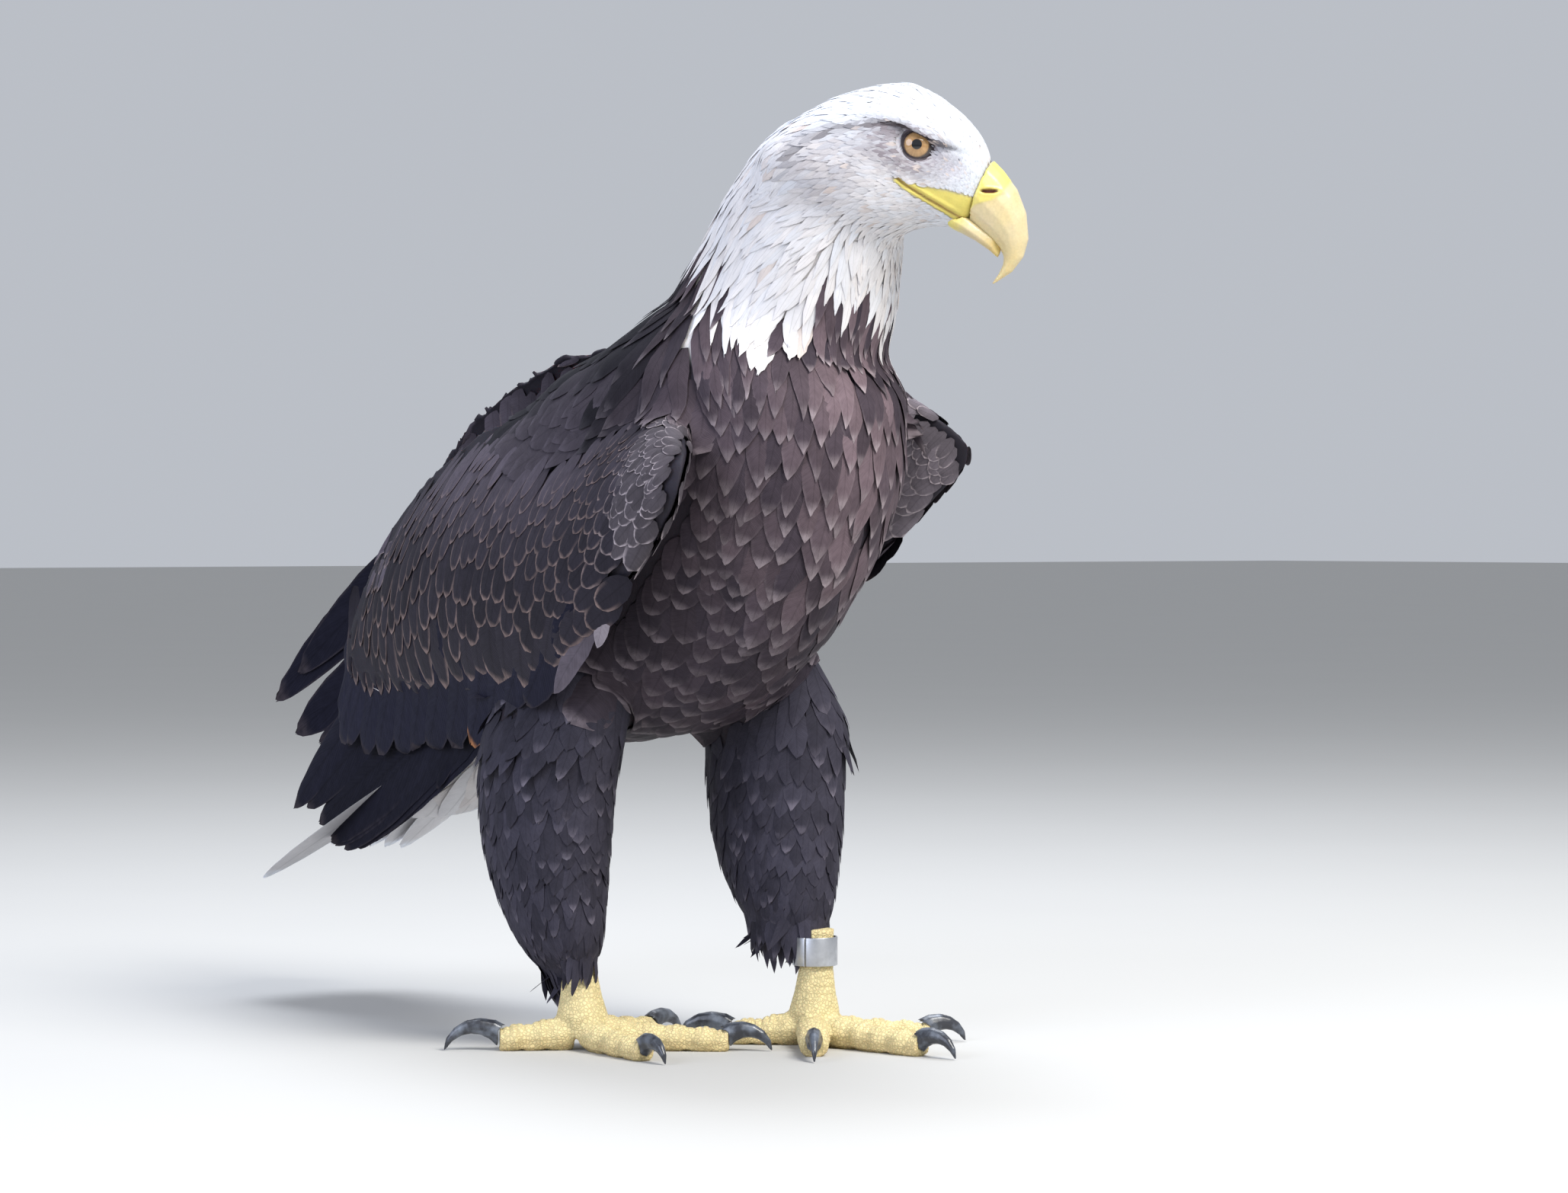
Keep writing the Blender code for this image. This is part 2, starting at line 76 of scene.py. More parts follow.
# --------------------------------------------------------------- the places
# The bird's own millimetres: it faces -Y, its left is +X, the floor is z 0.
HEAD_YAW = math.radians(42)
HEAD_PITCH = math.radians(20)
EYE_AT = (19.5, 1.6, 1.3)
EYE_RADIUS = 12.0
EYE_AXIS = np.array((0.9863, -0.1570, 0.0501))


def box_centre(node):
    low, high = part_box(node)
    return (Vector(low) + Vector(high)) / 2


HEAD_TURN = Matrix.Rotation(HEAD_YAW, 4, "Z") @ Matrix.Rotation(HEAD_PITCH, 4, "X")
BETWEEN_EYES = (box_centre("eye_left") + box_centre("eye_right")) / 2
HEAD_ORIGIN = BETWEEN_EYES - HEAD_TURN @ Vector((0, EYE_AT[1], EYE_AT[2])) * MM
BIRD_SHIFT = HEAD_ORIGIN - Vector((30, -177, 518)) * MM

LEFT_WING_SHIFT = (3, 28, 20)
LEFT_WING_LIFT = math.radians(5.9)
LEFT_WING_SWING = math.radians(-7.0)
WRIST = (-112, -120, 330)

BODY_NODES = (
    "trunk", "neck", "head", "thigh_right", "thigh_left",
    "wing_right_arm", "wing_left_arm", "tail",
)
ZONE = {name: index for index, name in enumerate(BODY_NODES)}
ARM_ZONES = (ZONE["wing_right_arm"], ZONE["wing_left_arm"])
THIGH_ZONES = (ZONE["thigh_right"], ZONE["thigh_left"])
TAIL_ZONE = ZONE["tail"]
TRUNK_ZONE = ZONE["trunk"]
DIGITS = ("hallux", "inner_toe", "middle_toe", "outer_toe")
SIDES = ("right", "left")
FOOT_NODES = [name for side in SIDES for name in (
    "tarsus_" + side, *("foot_%s_%s" % (side, digit) for digit in DIGITS))]
BLADES = ("secondaries", "primaries_inner", "primaries_middle", "primaries_outer")
FOOT_AT = {"right": (-58, 29), "left": (63, -36)}
TOE_HEADINGS = {
    "right": (238, 104, 46, -5),
    "left": (227, -38, 9, 62),
}
SHANK_TOP = 69                # the feathers of the leg end about here, z
TAIL_STUB = 262               # the skin of the tail ends here, y
MIDDLE = 5                    # the trunk's own middle, x
LIE_STEP = 0.008              # between samples of the lie of the coat, metres
SHEET_START = np.array((-180, 60))    # first corner of the wing's sheet, y and z
SHEET_STEP = 5.0
SHEET_SPAN = 620              # what the unwrap of the wing's coat covers
WRIST_POINT_AND_HEIGHT = (0.16, 2.2)
FLIGHT_PATCH = (1 / 14, 0.9)  # a strip of the unwrap for each long feather
TAIL_PATCH = (1 / 12, 0.9)
NEAR_CELLS = tuple(product((-1, 0, 1), repeat=3))
LEFT_FOOT_FORWARD = 37.0      # of the right one, mm
HACKLES_FROM = 370            # white on the body starts above this height, z

# How a feather of each place is: place, length, width, point and tip height.
HEAD_PLUMES = (
    ((0, -33, 14), 5.5, 2.6, 0.6, 0.72),
    ((12, -33, 6), 4.2, 2.0, 0.7, 0.61),
    ((14, -32, -12), 3.2, 1.5, 0.8, 0.5),
    ((22, -22, -4), 3.4, 1.5, 0.8, 0.5),
    ((16, -22, -30), 5.0, 2.1, 0.7, 0.66),
    ((0, -28, -36), 5.5, 2.3, 0.7, 0.72),
    ((29, -10, 14), 6.0, 2.5, 0.6, 0.83),
    ((0, 8, 34), 10.0, 4.0, 0.55, 1.21),
    ((32, 16, 4), 6.5, 2.5, 0.7, 0.83),
    ((32, 2, -14), 5.0, 2.1, 0.7, 0.66),
    ((36, 25, -15), 9.5, 3.4, 0.75, 1.1),
    ((36, 35, -35), 13.0, 4.4, 0.8, 1.43),
    ((25, 5, -40), 9.0, 3.5, 0.75, 1.21),
    ((0, -8, -48), 9.0, 3.8, 0.7, 1.26),
    ((0, 50, 20), 17.0, 5.4, 0.65, 1.76),
    ((30, 55, -5), 17.0, 5.2, 0.75, 1.76),
    ((0, 84, -25), 27.0, 7.2, 0.8, 2.42),
    ((36, 66, -45), 25.0, 6.6, 0.85, 2.42),
)
BODY_PLUMES = (
    ((104, -138, 342), 15, 9, 0.3, 1.8),
    ((116, -110, 305), 22, 14, 0.3, 2.2),
    ((112, -84, 268), 30, 17, 0.3, 2.6),
    ((100, -100, 360), 18, 9, 0.3, 2.0),
    ((8, -75, 500), 38, 7, 0.85, 2.64),
    ((8, -55, 465), 46, 9, 0.85, 3.36),
    ((66, -95, 460), 44, 7, 0.9, 3.36),
    ((8, -152, 470), 26, 5.5, 0.85, 2.4),
    ((8, -145, 430), 36, 7.5, 0.9, 3.36),
    ((66, -90, 425), 48, 9.5, 0.9, 3.84),
    ((78, -60, 400), 48, 20, 0.5, 3.84),
    ((5, -20, 435), 50, 24, 0.35, 4.32),
    ((5, 50, 410), 55, 31, 0.2, 4.32),
    ((60, 40, 395), 55, 31, 0.2, 4.32),
    ((5, 130, 360), 60, 34, 0.15, 4.32),
    ((5, 175, 300), 55, 30, 0.2, 4.32),
    ((5, -140, 405), 42, 13, 0.85, 3.84),
    ((5, -155, 370), 44, 17, 0.8, 4.32),
    ((70, -110, 370), 46, 19, 0.7, 4.32),
    ((5, -145, 315), 48, 21, 0.6, 4.32),
    ((5, -95, 240), 42, 22, 0.3, 4.08),
    ((5, -20, 190), 38, 21, 0.25, 4.08),
    ((85, -20, 260), 46, 24, 0.3, 4.08),
    ((75, 80, 230), 50, 24, 0.3, 4.08),
    ((5, 100, 178), 45, 20, 0.3, 4.08),
    ((5, 200, 120), 70, 24, 0.3, 3.84),
    ((5, 200, 215), 66, 27, 0.2, 3.84),
    ((52, 200, 165), 60, 24, 0.3, 3.84),
)
THIGH_PLUMES = (
    ((65, 30, 235), 34, 15, 0.35, 3.0),
    ((70, 40, 155), 28, 12, 0.4, 2.8),
    ((65, 40, 95), 22, 9, 0.5, 2.4),
    ((62, 40, 60), 17, 6, 0.65, 1.75),
)
# The lie of the coat: each line runs from the bill backwards.
HEAD_LINES = (
    ((0, -36, 10), (0, -26, 22), (0, -5, 31), (0, 18, 35), (0, 45, 23), (0, 70, 1), (0, 92, -32)),
    ((14, -36, -4), (26, -14, 15), (32, 6, 12), (34, 30, 0), (37, 60, -20), (36, 82, -50)),
    ((13, -38, -16), (24, -22, -8), (31, -2, -15), (36, 24, -20), (38, 50, -42), (34, 68, -72)),
    ((10, -34, -32), (20, -16, -36), (30, 8, -42), (34, 30, -66), (34, 44, -96)),
    ((0, -24, -37), (0, -12, -44), (8, -4, -60), (12, 2, -90)),
)
BODY_LINES = (
    ((30, -100, 545), (16, -62, 500), (5, -42, 450), (0, 28, 419), (0, 80, 405), (0, 122, 382),
     (0, 152, 342), (0, 178, 290), (0, 215, 240), (0, 260, 180)),
    ((14, -163, 480), (5, -148, 440), (0, -150, 405), (0, -158, 374), (0, -152, 326),
     (0, -129, 278), (0, -92, 235), (0, -50, 203), (0, 4, 184), (0, 62, 176), (0, 118, 170),
     (0, 180, 140), (0, 250, 100)),
    ((50, -105, 500), (60, -85, 455), (68, -98, 420), (72, -112, 386), (80, -104, 340),
     (76, -84, 290), (66, -50, 240), (50, 10, 198), (44, 70, 180), (30, 130, 170)),
    ((46, -70, 490), (60, -50, 445), (82, -10, 405), (84, 60, 370), (70, 120, 330),
     (56, 170, 260), (50, 240, 170)),
    ((100, -152, 352), (110, -138, 324), (114, -112, 290), (110, -80, 256)),
    ((96, -120, 368), (104, -92, 366), (106, -50, 352), (100, 0, 330)),
    ((92, -60, 360), (98, -10, 310), (92, 60, 250), (66, 120, 205), (45, 190, 160)),
)
THIGH_LINES = (
    ((66, -10, 250), (72, -8, 180), (68, 6, 110), (62, 30, 50)),
    ((60, 60, 250), (70, 92, 180), (66, 84, 110), (62, 62, 40)),
    ((30, 30, 250), (34, 44, 160), (40, 44, 100), (52, 42, 50)),
    ((90, 30, 240), (104, 46, 160), (96, 46, 100), (76, 42, 50)),
)
# The folded wing seen from its side, y and z: its outline, then its coverts.
WING_OUTLINE = (
    (-146, 333), (-138, 350), (-112, 364), (-66, 379), (-10, 388), (60, 389), (130, 376),
    (205, 346), (250, 305), (282, 262), (286, 226), (262, 206), (200, 208), (120, 212),
    (50, 216), (-2, 226), (-30, 238), (-52, 246), (-72, 262), (-88, 276), (-106, 292),
    (-125, 308), (-140, 322),
)
WING_PLUMES = (               # y, z, length, width, then the way the tip points
    (-128, 346, 15, 8, 0.70, -0.71), (-96, 364, 16, 7, 0.58, -0.81),
    (-50, 377, 18, 7, 0.45, -0.89), (20, 386, 22, 8, 0.35, -0.94),
    (100, 378, 27, 10, 0.25, -0.97), (180, 350, 33, 12, 0.18, -0.98),
    (250, 292, 42, 14, 0.10, -0.99), (-138, 328, 15, 9, 0.80, -0.60),
    (-112, 326, 22, 13, 0.74, -0.67), (-96, 300, 30, 17, 0.80, -0.60),
    (-78, 330, 28, 14, 0.60, -0.80), (-76, 272, 34, 18, 0.88, -0.48),
    (-44, 306, 38, 20, 0.58, -0.81), (-20, 344, 30, 13, 0.45, -0.89),
    (-26, 262, 46, 25, 0.60, -0.80), (20, 296, 44, 22, 0.34, -0.94),
    (40, 340, 34, 14, 0.32, -0.95), (100, 300, 46, 19, 0.20, -0.98),
    (120, 340, 36, 13, 0.22, -0.97), (60, 246, 58, 29, 0.20, -0.98),
    (130, 250, 56, 23, 0.12, -0.99), (190, 290, 48, 16, 0.12, -0.99),
    (200, 240, 58, 18, 0.08, -1.00), (262, 240, 56, 14, 0.06, -1.00),
)
GREATER_COVERTS = (           # tip y, tip z, length, width, way of the tip
    (-68, 262, 30, 18, 0.86), (-56, 250, 34, 20, 0.84), (-44, 247, 40, 22, 0.76),
    (-32, 240, 46, 25, 0.70), (-20, 236, 54, 28, 0.62), (-6, 228, 62, 34, 0.55),
    (10, 222, 70, 38, 0.45), (26, 214, 76, 44, 0.35), (42, 218, 75, 40, 0.30),
    (58, 216, 74, 40, 0.24), (72, 218, 74, 34, 0.20), (86, 214, 74, 34, 0.18),
    (110, 214, 72, 30, 0.14), (132, 210, 72, 27, 0.12), (152, 210, 70, 25, 0.10),
    (170, 208, 70, 23, 0.10), (187, 208, 70, 21, 0.09), (203, 206, 70, 20, 0.08),
    (218, 204, 68, 18, 0.08), (232, 203, 68, 17, 0.07), (246, 201, 66, 16, 0.06),
    (259, 204, 64, 15, 0.05), (271, 208, 60, 15, 0.04), (282, 216, 54, 14, 0.02),
)
SECONDARIES = (               # tip y, tip z, length, width, way of the tip
    (30, 205, 120, 34, 0.80), (58, 199, 130, 36, 0.78), (88, 190, 138, 38, 0.74),
    (118, 180, 144, 40, 0.70), (146, 174, 148, 40, 0.66), (174, 171, 150, 40, 0.62),
    (200, 169, 152, 40, 0.58), (224, 167, 154, 40, 0.56), (247, 164, 156, 40, 0.54),
    (268, 163, 158, 38, 0.54), (286, 165, 158, 36, 0.54), (302, 169, 156, 34, 0.55),
    (314, 176, 150, 32, 0.56),
)
PRIMARIES = (                 # tip x, y, z, root x, y, z, width, droop of the tip
    (-64, 178, 147, -72, 128, 206, 15, 0), (-43, 296, 106, -78, 88, 200, 28, 4),
    (-42, 305, 103, -78, 92, 206, 32, 4), (-42, 316, 101, -77, 95, 210, 33, 4),
    (-41, 327, 103, -76, 99, 215, 34, 4), (-41, 331, 105, -74, 101, 218, 38, 4),
    (-40, 336, 109, -72, 103, 222, 40, 4), (-39, 347, 116, -68, 106, 228, 40, 4),
    (-38, 362, 125, -60, 150, 246, 34, 5),
    (-37, 379, 124, -54, 190, 258, 33, 6),
)
LEFT_PRIMARIES = (            # the same, the tips lifted apart like two fingers
    (-37, 312, 100, -76, 92, 206, 32, 4), (-37, 328, 98, -75, 98, 214, 34, 6),
    (-36, 346, 97, -74, 104, 222, 36, 10), (-35, 371, 99, -70, 118, 258, 46, 40),
    (-35, 372, 140, -62, 170, 296, 36, 44), (-34, 394, 118, -64, 150, 290, 38, 60),
)
# White reaches down to this height round the neck: turn from the front, z.
WHITE_EDGE = (
    (-180, 466), (-140, 460), (-118, 447), (-95, 429), (-86, 414), (-75, 406), (-58, 386),
    (-42, 388), (-30, 402), (-24, 424), (-17, 412), (-8, 414), (4, 418), (24, 414),
    (45, 398), (60, 388), (80, 404), (100, 426), (120, 446), (140, 460), (180, 466),
)
LONE_WHITE = ((-25, -143, 391, 6), (21, -147, 388, 9), (30, -145, 392, 7))
# A painted highlight on the leading edge at the wrist: feathers that end near these places are made
# white.
WRIST_HIGHLIGHT = ((-107, -138, 347, 6), (-113, -146, 321, 9))
# Single feathers of their own colour at the front of the wing and in the last row.
PALE_COVERT = (-60, 239, 24, 11, 0.50)
GREY_COVERT = (-8, 212, 68, 15, 0.80)
RUSTY_SECONDARY = 3
BROW_LINE = (
    (17, -30, 9.6), (23, -22, 8.6), (28, -14, 7.9), (32, -4.5, 8.6), (33.5, 3.5, 9.9),
    (34.5, 11.5, 11.2), (34.5, 18, 9.8), (34.5, 26, 6.6),
)
# A painted shadow line: the shade of the brow's crease, running back from the brow and down behind
# the eye.
SHADOW_LINE = (
    (32, 8, 9.0), (33.5, 18, 8.0), (34.5, 26, 5.0), (35, 36, 0), (35.5, 46, -5),
    (35.5, 56, -11), (37, 57.5, -19), (38, 58, -27.5), (37, 59, -34),
)
GAPE_LINE = (
    (10.5, -36, -28.2), (11.5, -32.5, -27.5), (17.0, -23.1, -25.6), (21.6, -15.3, -24.2),
    (27.8, -4.2, -21.9), (30.2, 1, -20.3), (31.7, 5, -18.8),
)
LID_OPENING = (               # turn from the front, up being a quarter; reach
    (0, 9.6), (20, 8.7), (45, 7.2), (65, 6.7), (90, 7.0), (115, 7.4), (140, 7.8), (165, 8.6),
    (180, 8.9), (205, 8.4), (235, 7.8), (270, 7.5), (300, 7.7), (325, 8.6), (345, 9.6), (360, 9.6),
)
NOSTRIL = ((-40.4, -10.1), (-48.8, -7.1))


def srgb(code):
    """A hex colour as linear red, green and blue."""
    parts = [int(code[i:i + 2], 16) / 255 for i in (1, 3, 5)]
    return tuple(c / 12.92 if c <= 0.04045 else ((c + 0.055) / 1.055) ** 2.4 for c in parts)


def at(x, y, z):
    """A place given in the bird's millimetres."""
    return BIRD_SHIFT + Vector((x, y, z)) * MM


def bird_mm(points):
    return (np.asarray(points) - np.array(BIRD_SHIFT)) / MM


def head_mm(points):
    """Places in the head's own millimetres: -Y along the bill."""
    turn = np.array(HEAD_TURN.to_3x3())
    return (np.asarray(points) - np.array(HEAD_ORIGIN)) @ turn / MM


def head_world(points):
    turn = np.array(HEAD_TURN.to_3x3())
    return np.asarray(points, float) * MM @ turn.T + np.array(HEAD_ORIGIN)


def bird_world(points):
    return np.asarray(points, float) * MM + np.array(BIRD_SHIFT)


def folded(local):
    """The same places, with those of the left side laid on the right side."""
    local[:, 0] = np.abs(local[:, 0])
    return local


def smooth(low, high, x):
    t = np.clip((np.asarray(x, float) - low) / (high - low), 0, 1)
    return t * t * (3 - 2 * t)


def hill(x, width):
    """One at zero, falling off smoothly to both sides."""
    return np.exp(-(x / width) ** 2)


def unit(v):
    return v / np.maximum(np.linalg.norm(v, axis=-1, keepdims=True), 1e-9)


def segment_distance(points, line):
    """Distance to a polyline, and how far along it the nearest place is."""
    line = np.asarray(line, float)
    best = np.full(len(points), 1e9)
    along = np.zeros(len(points))
    for i, (a, b) in enumerate(zip(line, line[1:])):
        t = np.clip((points - a) @ (b - a) / ((b - a) @ (b - a)), 0, 1)
        d = np.linalg.norm(points - a - t[:, None] * (b - a), axis=1)
        near = d < best
        best[near] = d[near]
        along[near] = (i + t[near]) / (len(line) - 1)
    return best, along


# ------------------------------------------------------------------- meshes
def solid(node, swell=0.0):
    """A CAD node's own triangles with their doubles merged."""
    bm = bmesh.new()
    bm.from_mesh(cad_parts[node].data)
    bmesh.ops.remove_doubles(bm, verts=bm.verts, dist=1e-5)
    bm.normal_update()
    if swell:
        for vert in bm.verts:
            vert.co += vert.normal * swell * MM
    return bm


def joined(nodes, swell=0.0, cut_tail=False):
    """Several nodes' shells as one mesh."""
    whole = bmesh.new()
    for name in nodes:
        part = solid(name, swell)
        if cut_tail and name == "tail":
            end = at(0, TAIL_STUB, 0)
            cut = bmesh.ops.bisect_plane(
                part, geom=part.verts[:] + part.edges[:] + part.faces[:],
                plane_co=end, plane_no=(0, 1, 0), clear_outer=True)
            edges = [g for g in cut["geom_cut"] if isinstance(g, bmesh.types.BMEdge)]
            bmesh.ops.holes_fill(part, edges=edges)
        mesh = bpy.data.meshes.new("part")
        part.to_mesh(mesh)
        part.free()
        whole.from_mesh(mesh)
        bpy.data.meshes.remove(mesh)
    mesh = bpy.data.meshes.new("joined")
    whole.to_mesh(mesh)
    whole.free()
    return mesh


def made_mesh(name, verts, faces=()):
    mesh = bpy.data.meshes.new(name)
    mesh.from_pydata([tuple(v) for v in verts], [], faces)
    return mesh


@contextmanager
def edited(mesh):
    """The mesh as one that can be edited, written back afterwards."""
    bm = bmesh.new()
    bm.from_mesh(mesh)
    yield bm
    bm.to_mesh(mesh)
    bm.free()


def show(name, mesh):
    obj = bpy.data.objects.new(name, mesh)
    bpy.context.scene.collection.objects.link(obj)
    return obj


def applied(obj):
    """The object's mesh with its modifiers worked in, and the modifiers gone."""
    graph = bpy.context.evaluated_depsgraph_get()
    mesh = bpy.data.meshes.new_from_object(obj.evaluated_get(graph))
    obj.modifiers.clear()
    old = obj.data
    obj.data = mesh
    bpy.data.meshes.remove(old)
    mesh.name = obj.name
    return mesh


def remeshed(name, mesh, voxel, rounds):
    """One closed even skin round everything in the mesh, then softened."""
    obj = show(name, mesh)
    remesh = obj.modifiers.new("even", "REMESH")
    remesh.mode = "VOXEL"
    remesh.voxel_size = voxel * MM
    remesh.use_smooth_shade = True
    soften = obj.modifiers.new("soften", "SMOOTH")
    soften.factor = 0.5
    soften.iterations = rounds
    applied(obj)
    return obj


def read(items, field, width, kind=np.float32):
    """One field of all the items as rows of numbers."""
    out = np.empty(len(items) * width, kind)
    items.foreach_get(field, out)
    return out.reshape(-1, width)


def points_of(mesh):
    return read(mesh.vertices, "co", 3).astype(float)


def normals_of(mesh):
    return read(mesh.vertex_normals, "vector", 3).astype(float)


def set_points(mesh, points):
    mesh.vertices.foreach_set("co", np.asarray(points, np.float32).ravel())
    mesh.update()


def edges_of(mesh):
    return read(mesh.edges, "vertices", 2, np.int32)


def averaged(values, edges, rounds, keep=None):
    """Values spread over the mesh's edges, a few rounds of it."""
    values = np.array(values, float)
    flat = values.ndim == 1
    values = values.reshape(len(values), -1)
    one, other = edges.T
    count = np.maximum(np.bincount(edges.ravel(), minlength=len(values)), 1.0)[:, None]
    for _ in range(rounds):
        total = np.zeros_like(values)
        for k in range(values.shape[1]):
            total[:, k] += np.bincount(one, values[other, k], len(values))
            total[:, k] += np.bincount(other, values[one, k], len(values))
        new = 0.5 * values + 0.5 * total / count
        values = new if keep is None else np.where(keep[:, None], values, new)
    return values[:, 0] if flat else values


def tree_of(mesh):
    return BVHTree.FromPolygons(
        [v.co for v in mesh.vertices], [tuple(p.vertices) for p in mesh.polygons])


def store(mesh, name, values, domain="POINT"):
    """A float, vector or colour attribute from an array."""
    values = np.asarray(values, np.float32)
    wide = 1 if values.ndim == 1 else values.shape[1]
    kind, field = {1: ("FLOAT", "value"), 3: ("FLOAT_VECTOR", "vector"),
                   4: ("FLOAT_COLOR", "color")}[wide]
    layer = mesh.attributes.new(name, kind, domain)
    layer.data.foreach_set(field, values.ravel())


def colours(values):
    """Rows of red, green and blue with the fourth channel that a mesh wants."""
    return np.hstack((values, np.ones((len(values), 1))))


def finish_piece(obj, material, slot, *nodes):
    """Give a made piece its finish and its body, and hide the solids it stands for."""
    if not obj.data.materials:
        obj.data.materials.append(material)
    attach(obj, "root")
    if nodes:
        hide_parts(*nodes)


# ---------------------------------------------------------------- the nodes
MATH = "ShaderNodeMath"
TIMES = MATH + " MULTIPLY"    # a kind of node may have its operation after it
TIMES_PLUS = MATH + " MULTIPLY_ADD"
PLUS = MATH + " ADD"
MINUS = MATH + " SUBTRACT"
POWER = MATH + " POWER"
SIZE_OF = MATH + " ABSOLUTE"
MOST = MATH + " MAXIMUM"
LEAST = MATH + " MINIMUM"
VECTOR = "ShaderNodeVectorMath"
VECTOR_TIMES = VECTOR + " MULTIPLY"
VECTOR_PLUS = VECTOR + " ADD"
SCALED = VECTOR + " SCALE"
RANGE = "ShaderNodeMapRange"
MIX = "ShaderNodeMix"
NOISE = "ShaderNodeTexNoise"
BUMP = "ShaderNodeBump"
SPLIT = "ShaderNodeSeparateXYZ"
COMBINE = "ShaderNodeCombineXYZ"
ATTRIBUTE = "ShaderNodeAttribute"
PLACE = "ShaderNodeTexCoord"
KEEP = "GeometryNodeStoreNamedAttribute"


def feed(tree, made, wanted):
    """Feed sockets; a node as a source stands for its first output in use."""
    for socket, source in wanted.items():
        if isinstance(source, bpy.types.Node):
            source = next(out for out in source.outputs if out.enabled)
        if isinstance(source, bpy.types.NodeSocket):
            tree.links.new(source, made.inputs[socket])
        else:
            made.inputs[socket].default_value = source


def node(tree, kind, *sources, **named):
    """Add one node. Sources feed its sockets in order, or in a dict by number.

    A name with a capital is a socket's, and the others are settings.
    """
    kind, _, operation = kind.partition(" ")
    made = tree.nodes.new(kind)
    if operation:
        made.operation = operation
    by_number = sources and isinstance(sources[0], dict)
    wanted = dict(sources[0] if by_number else enumerate(sources))
    for key, value in named.items():
        if key[0].isupper():
            wanted[key.replace("_", " ")] = value
        else:
            setattr(made, key, value)
    feed(tree, made, wanted)
    return made


def new_material(name, **numbers):
    """A Principled material with its plain numbers, a way to add and one to feed."""
    made = bpy.data.materials.new(name)
    made.use_nodes = True
    tree = made.node_tree
    dress = partial(feed, tree, tree.nodes["Principled BSDF"])
    dress({socket.replace("_", " "): value for socket, value in numbers.items()})
    return made, partial(node, tree), dress


def feather_material(name, margin, sides, fade, roughness, shine, barb_depth, soft=0.0):
    """Keratin vane: dull, finely ribbed across, with a paler worn margin.

    The barbs are drawn about a millimetre apart, three times their real
    spacing, so that they show; the margin and the shaft follow the vane.
    """
    made, add, dress = new_material(
        name, Roughness=roughness, Specular_IOR_Level=shine, Subsurface_Weight=soft,
        Subsurface_Scale=0.004, Subsurface_Radius=(1.0, 0.9, 0.85))
    u, v, _ = add(SPLIT, add("ShaderNodeUVMap", uv_map="Feather")).outputs
    across = add(TIMES, add(SIZE_OF, add(MINUS, u, 0.5)), 2.0)
    vane = add(ATTRIBUTE, attribute_name="vane_colour")
    edge = add(ATTRIBUTE, attribute_name="edge_colour")
    cloud = add(NOISE, Vector=add(PLACE).outputs["Object"], Scale=160.0, Detail=4.0)
    # the margin runs down both sides and widens round the tip
    side = add(RANGE, across, 1.0 - margin, 1.0 - margin * 0.25, 0.0, 1.0,
               interpolation_type="SMOOTHSTEP")
    side = add(TIMES, side, add(RANGE, v, 0.45, 0.9, 0.0, sides))
    tip = add(RANGE, v, 0.985 - fade, 0.985, 0.0, 1.0, interpolation_type="SMOOTHSTEP")
    rim = add(TIMES, add(MOST, side, tip), add(RANGE, cloud, 0.3, 0.6, 0.45, 1.0))
    colour = add(MIX, {0: rim, 6: vane, 7: edge}, data_type="RGBA")
    # barbs lean forward from the shaft
    lean = add(TIMES, add(MINUS, v, add(TIMES, across, 0.16)), 260.0)
    ribs = add(MATH, lean, operation="SINE")
    # groups of barbs cling together and part in thin dark splits
    splits = add(COMBINE, add(TIMES, lean, 0.12), u, 0.0)
    splits = add(NOISE, Vector=splits, Scale=1.6, Detail=2.0)
    shaft = add(RANGE, across, 0.03, 0.09, 1.0, 0.0)
    tone = add(RANGE, cloud, 0.25, 0.75, 0.84 + soft, 1.12 - soft / 2)
    streak = add(RANGE, splits, 0.3, 0.7, 0.86 + soft, 1.1 - soft / 2)
    tone = add(TIMES, tone, streak)
    stem = add(RANGE, shaft, 0.0, 1.0, 1.0, 0.82)
    tone = add(TIMES, tone, stem)
    # the covered root is downy; its darker colour is painted shade from the feathers lying over it
    root = add(RANGE, v, 0.0, 0.45, 0.72 + soft, 1.0)
    tone = add(TIMES, tone, root)
    colour = add(VECTOR_TIMES, colour, tone)
    height = add(TIMES_PLUS, ribs, 0.22, splits)
    bump = add(BUMP, Height=height, Strength=barb_depth, Distance=0.0006)
    dress({"Base Color": colour, "Normal": bump})
    return made


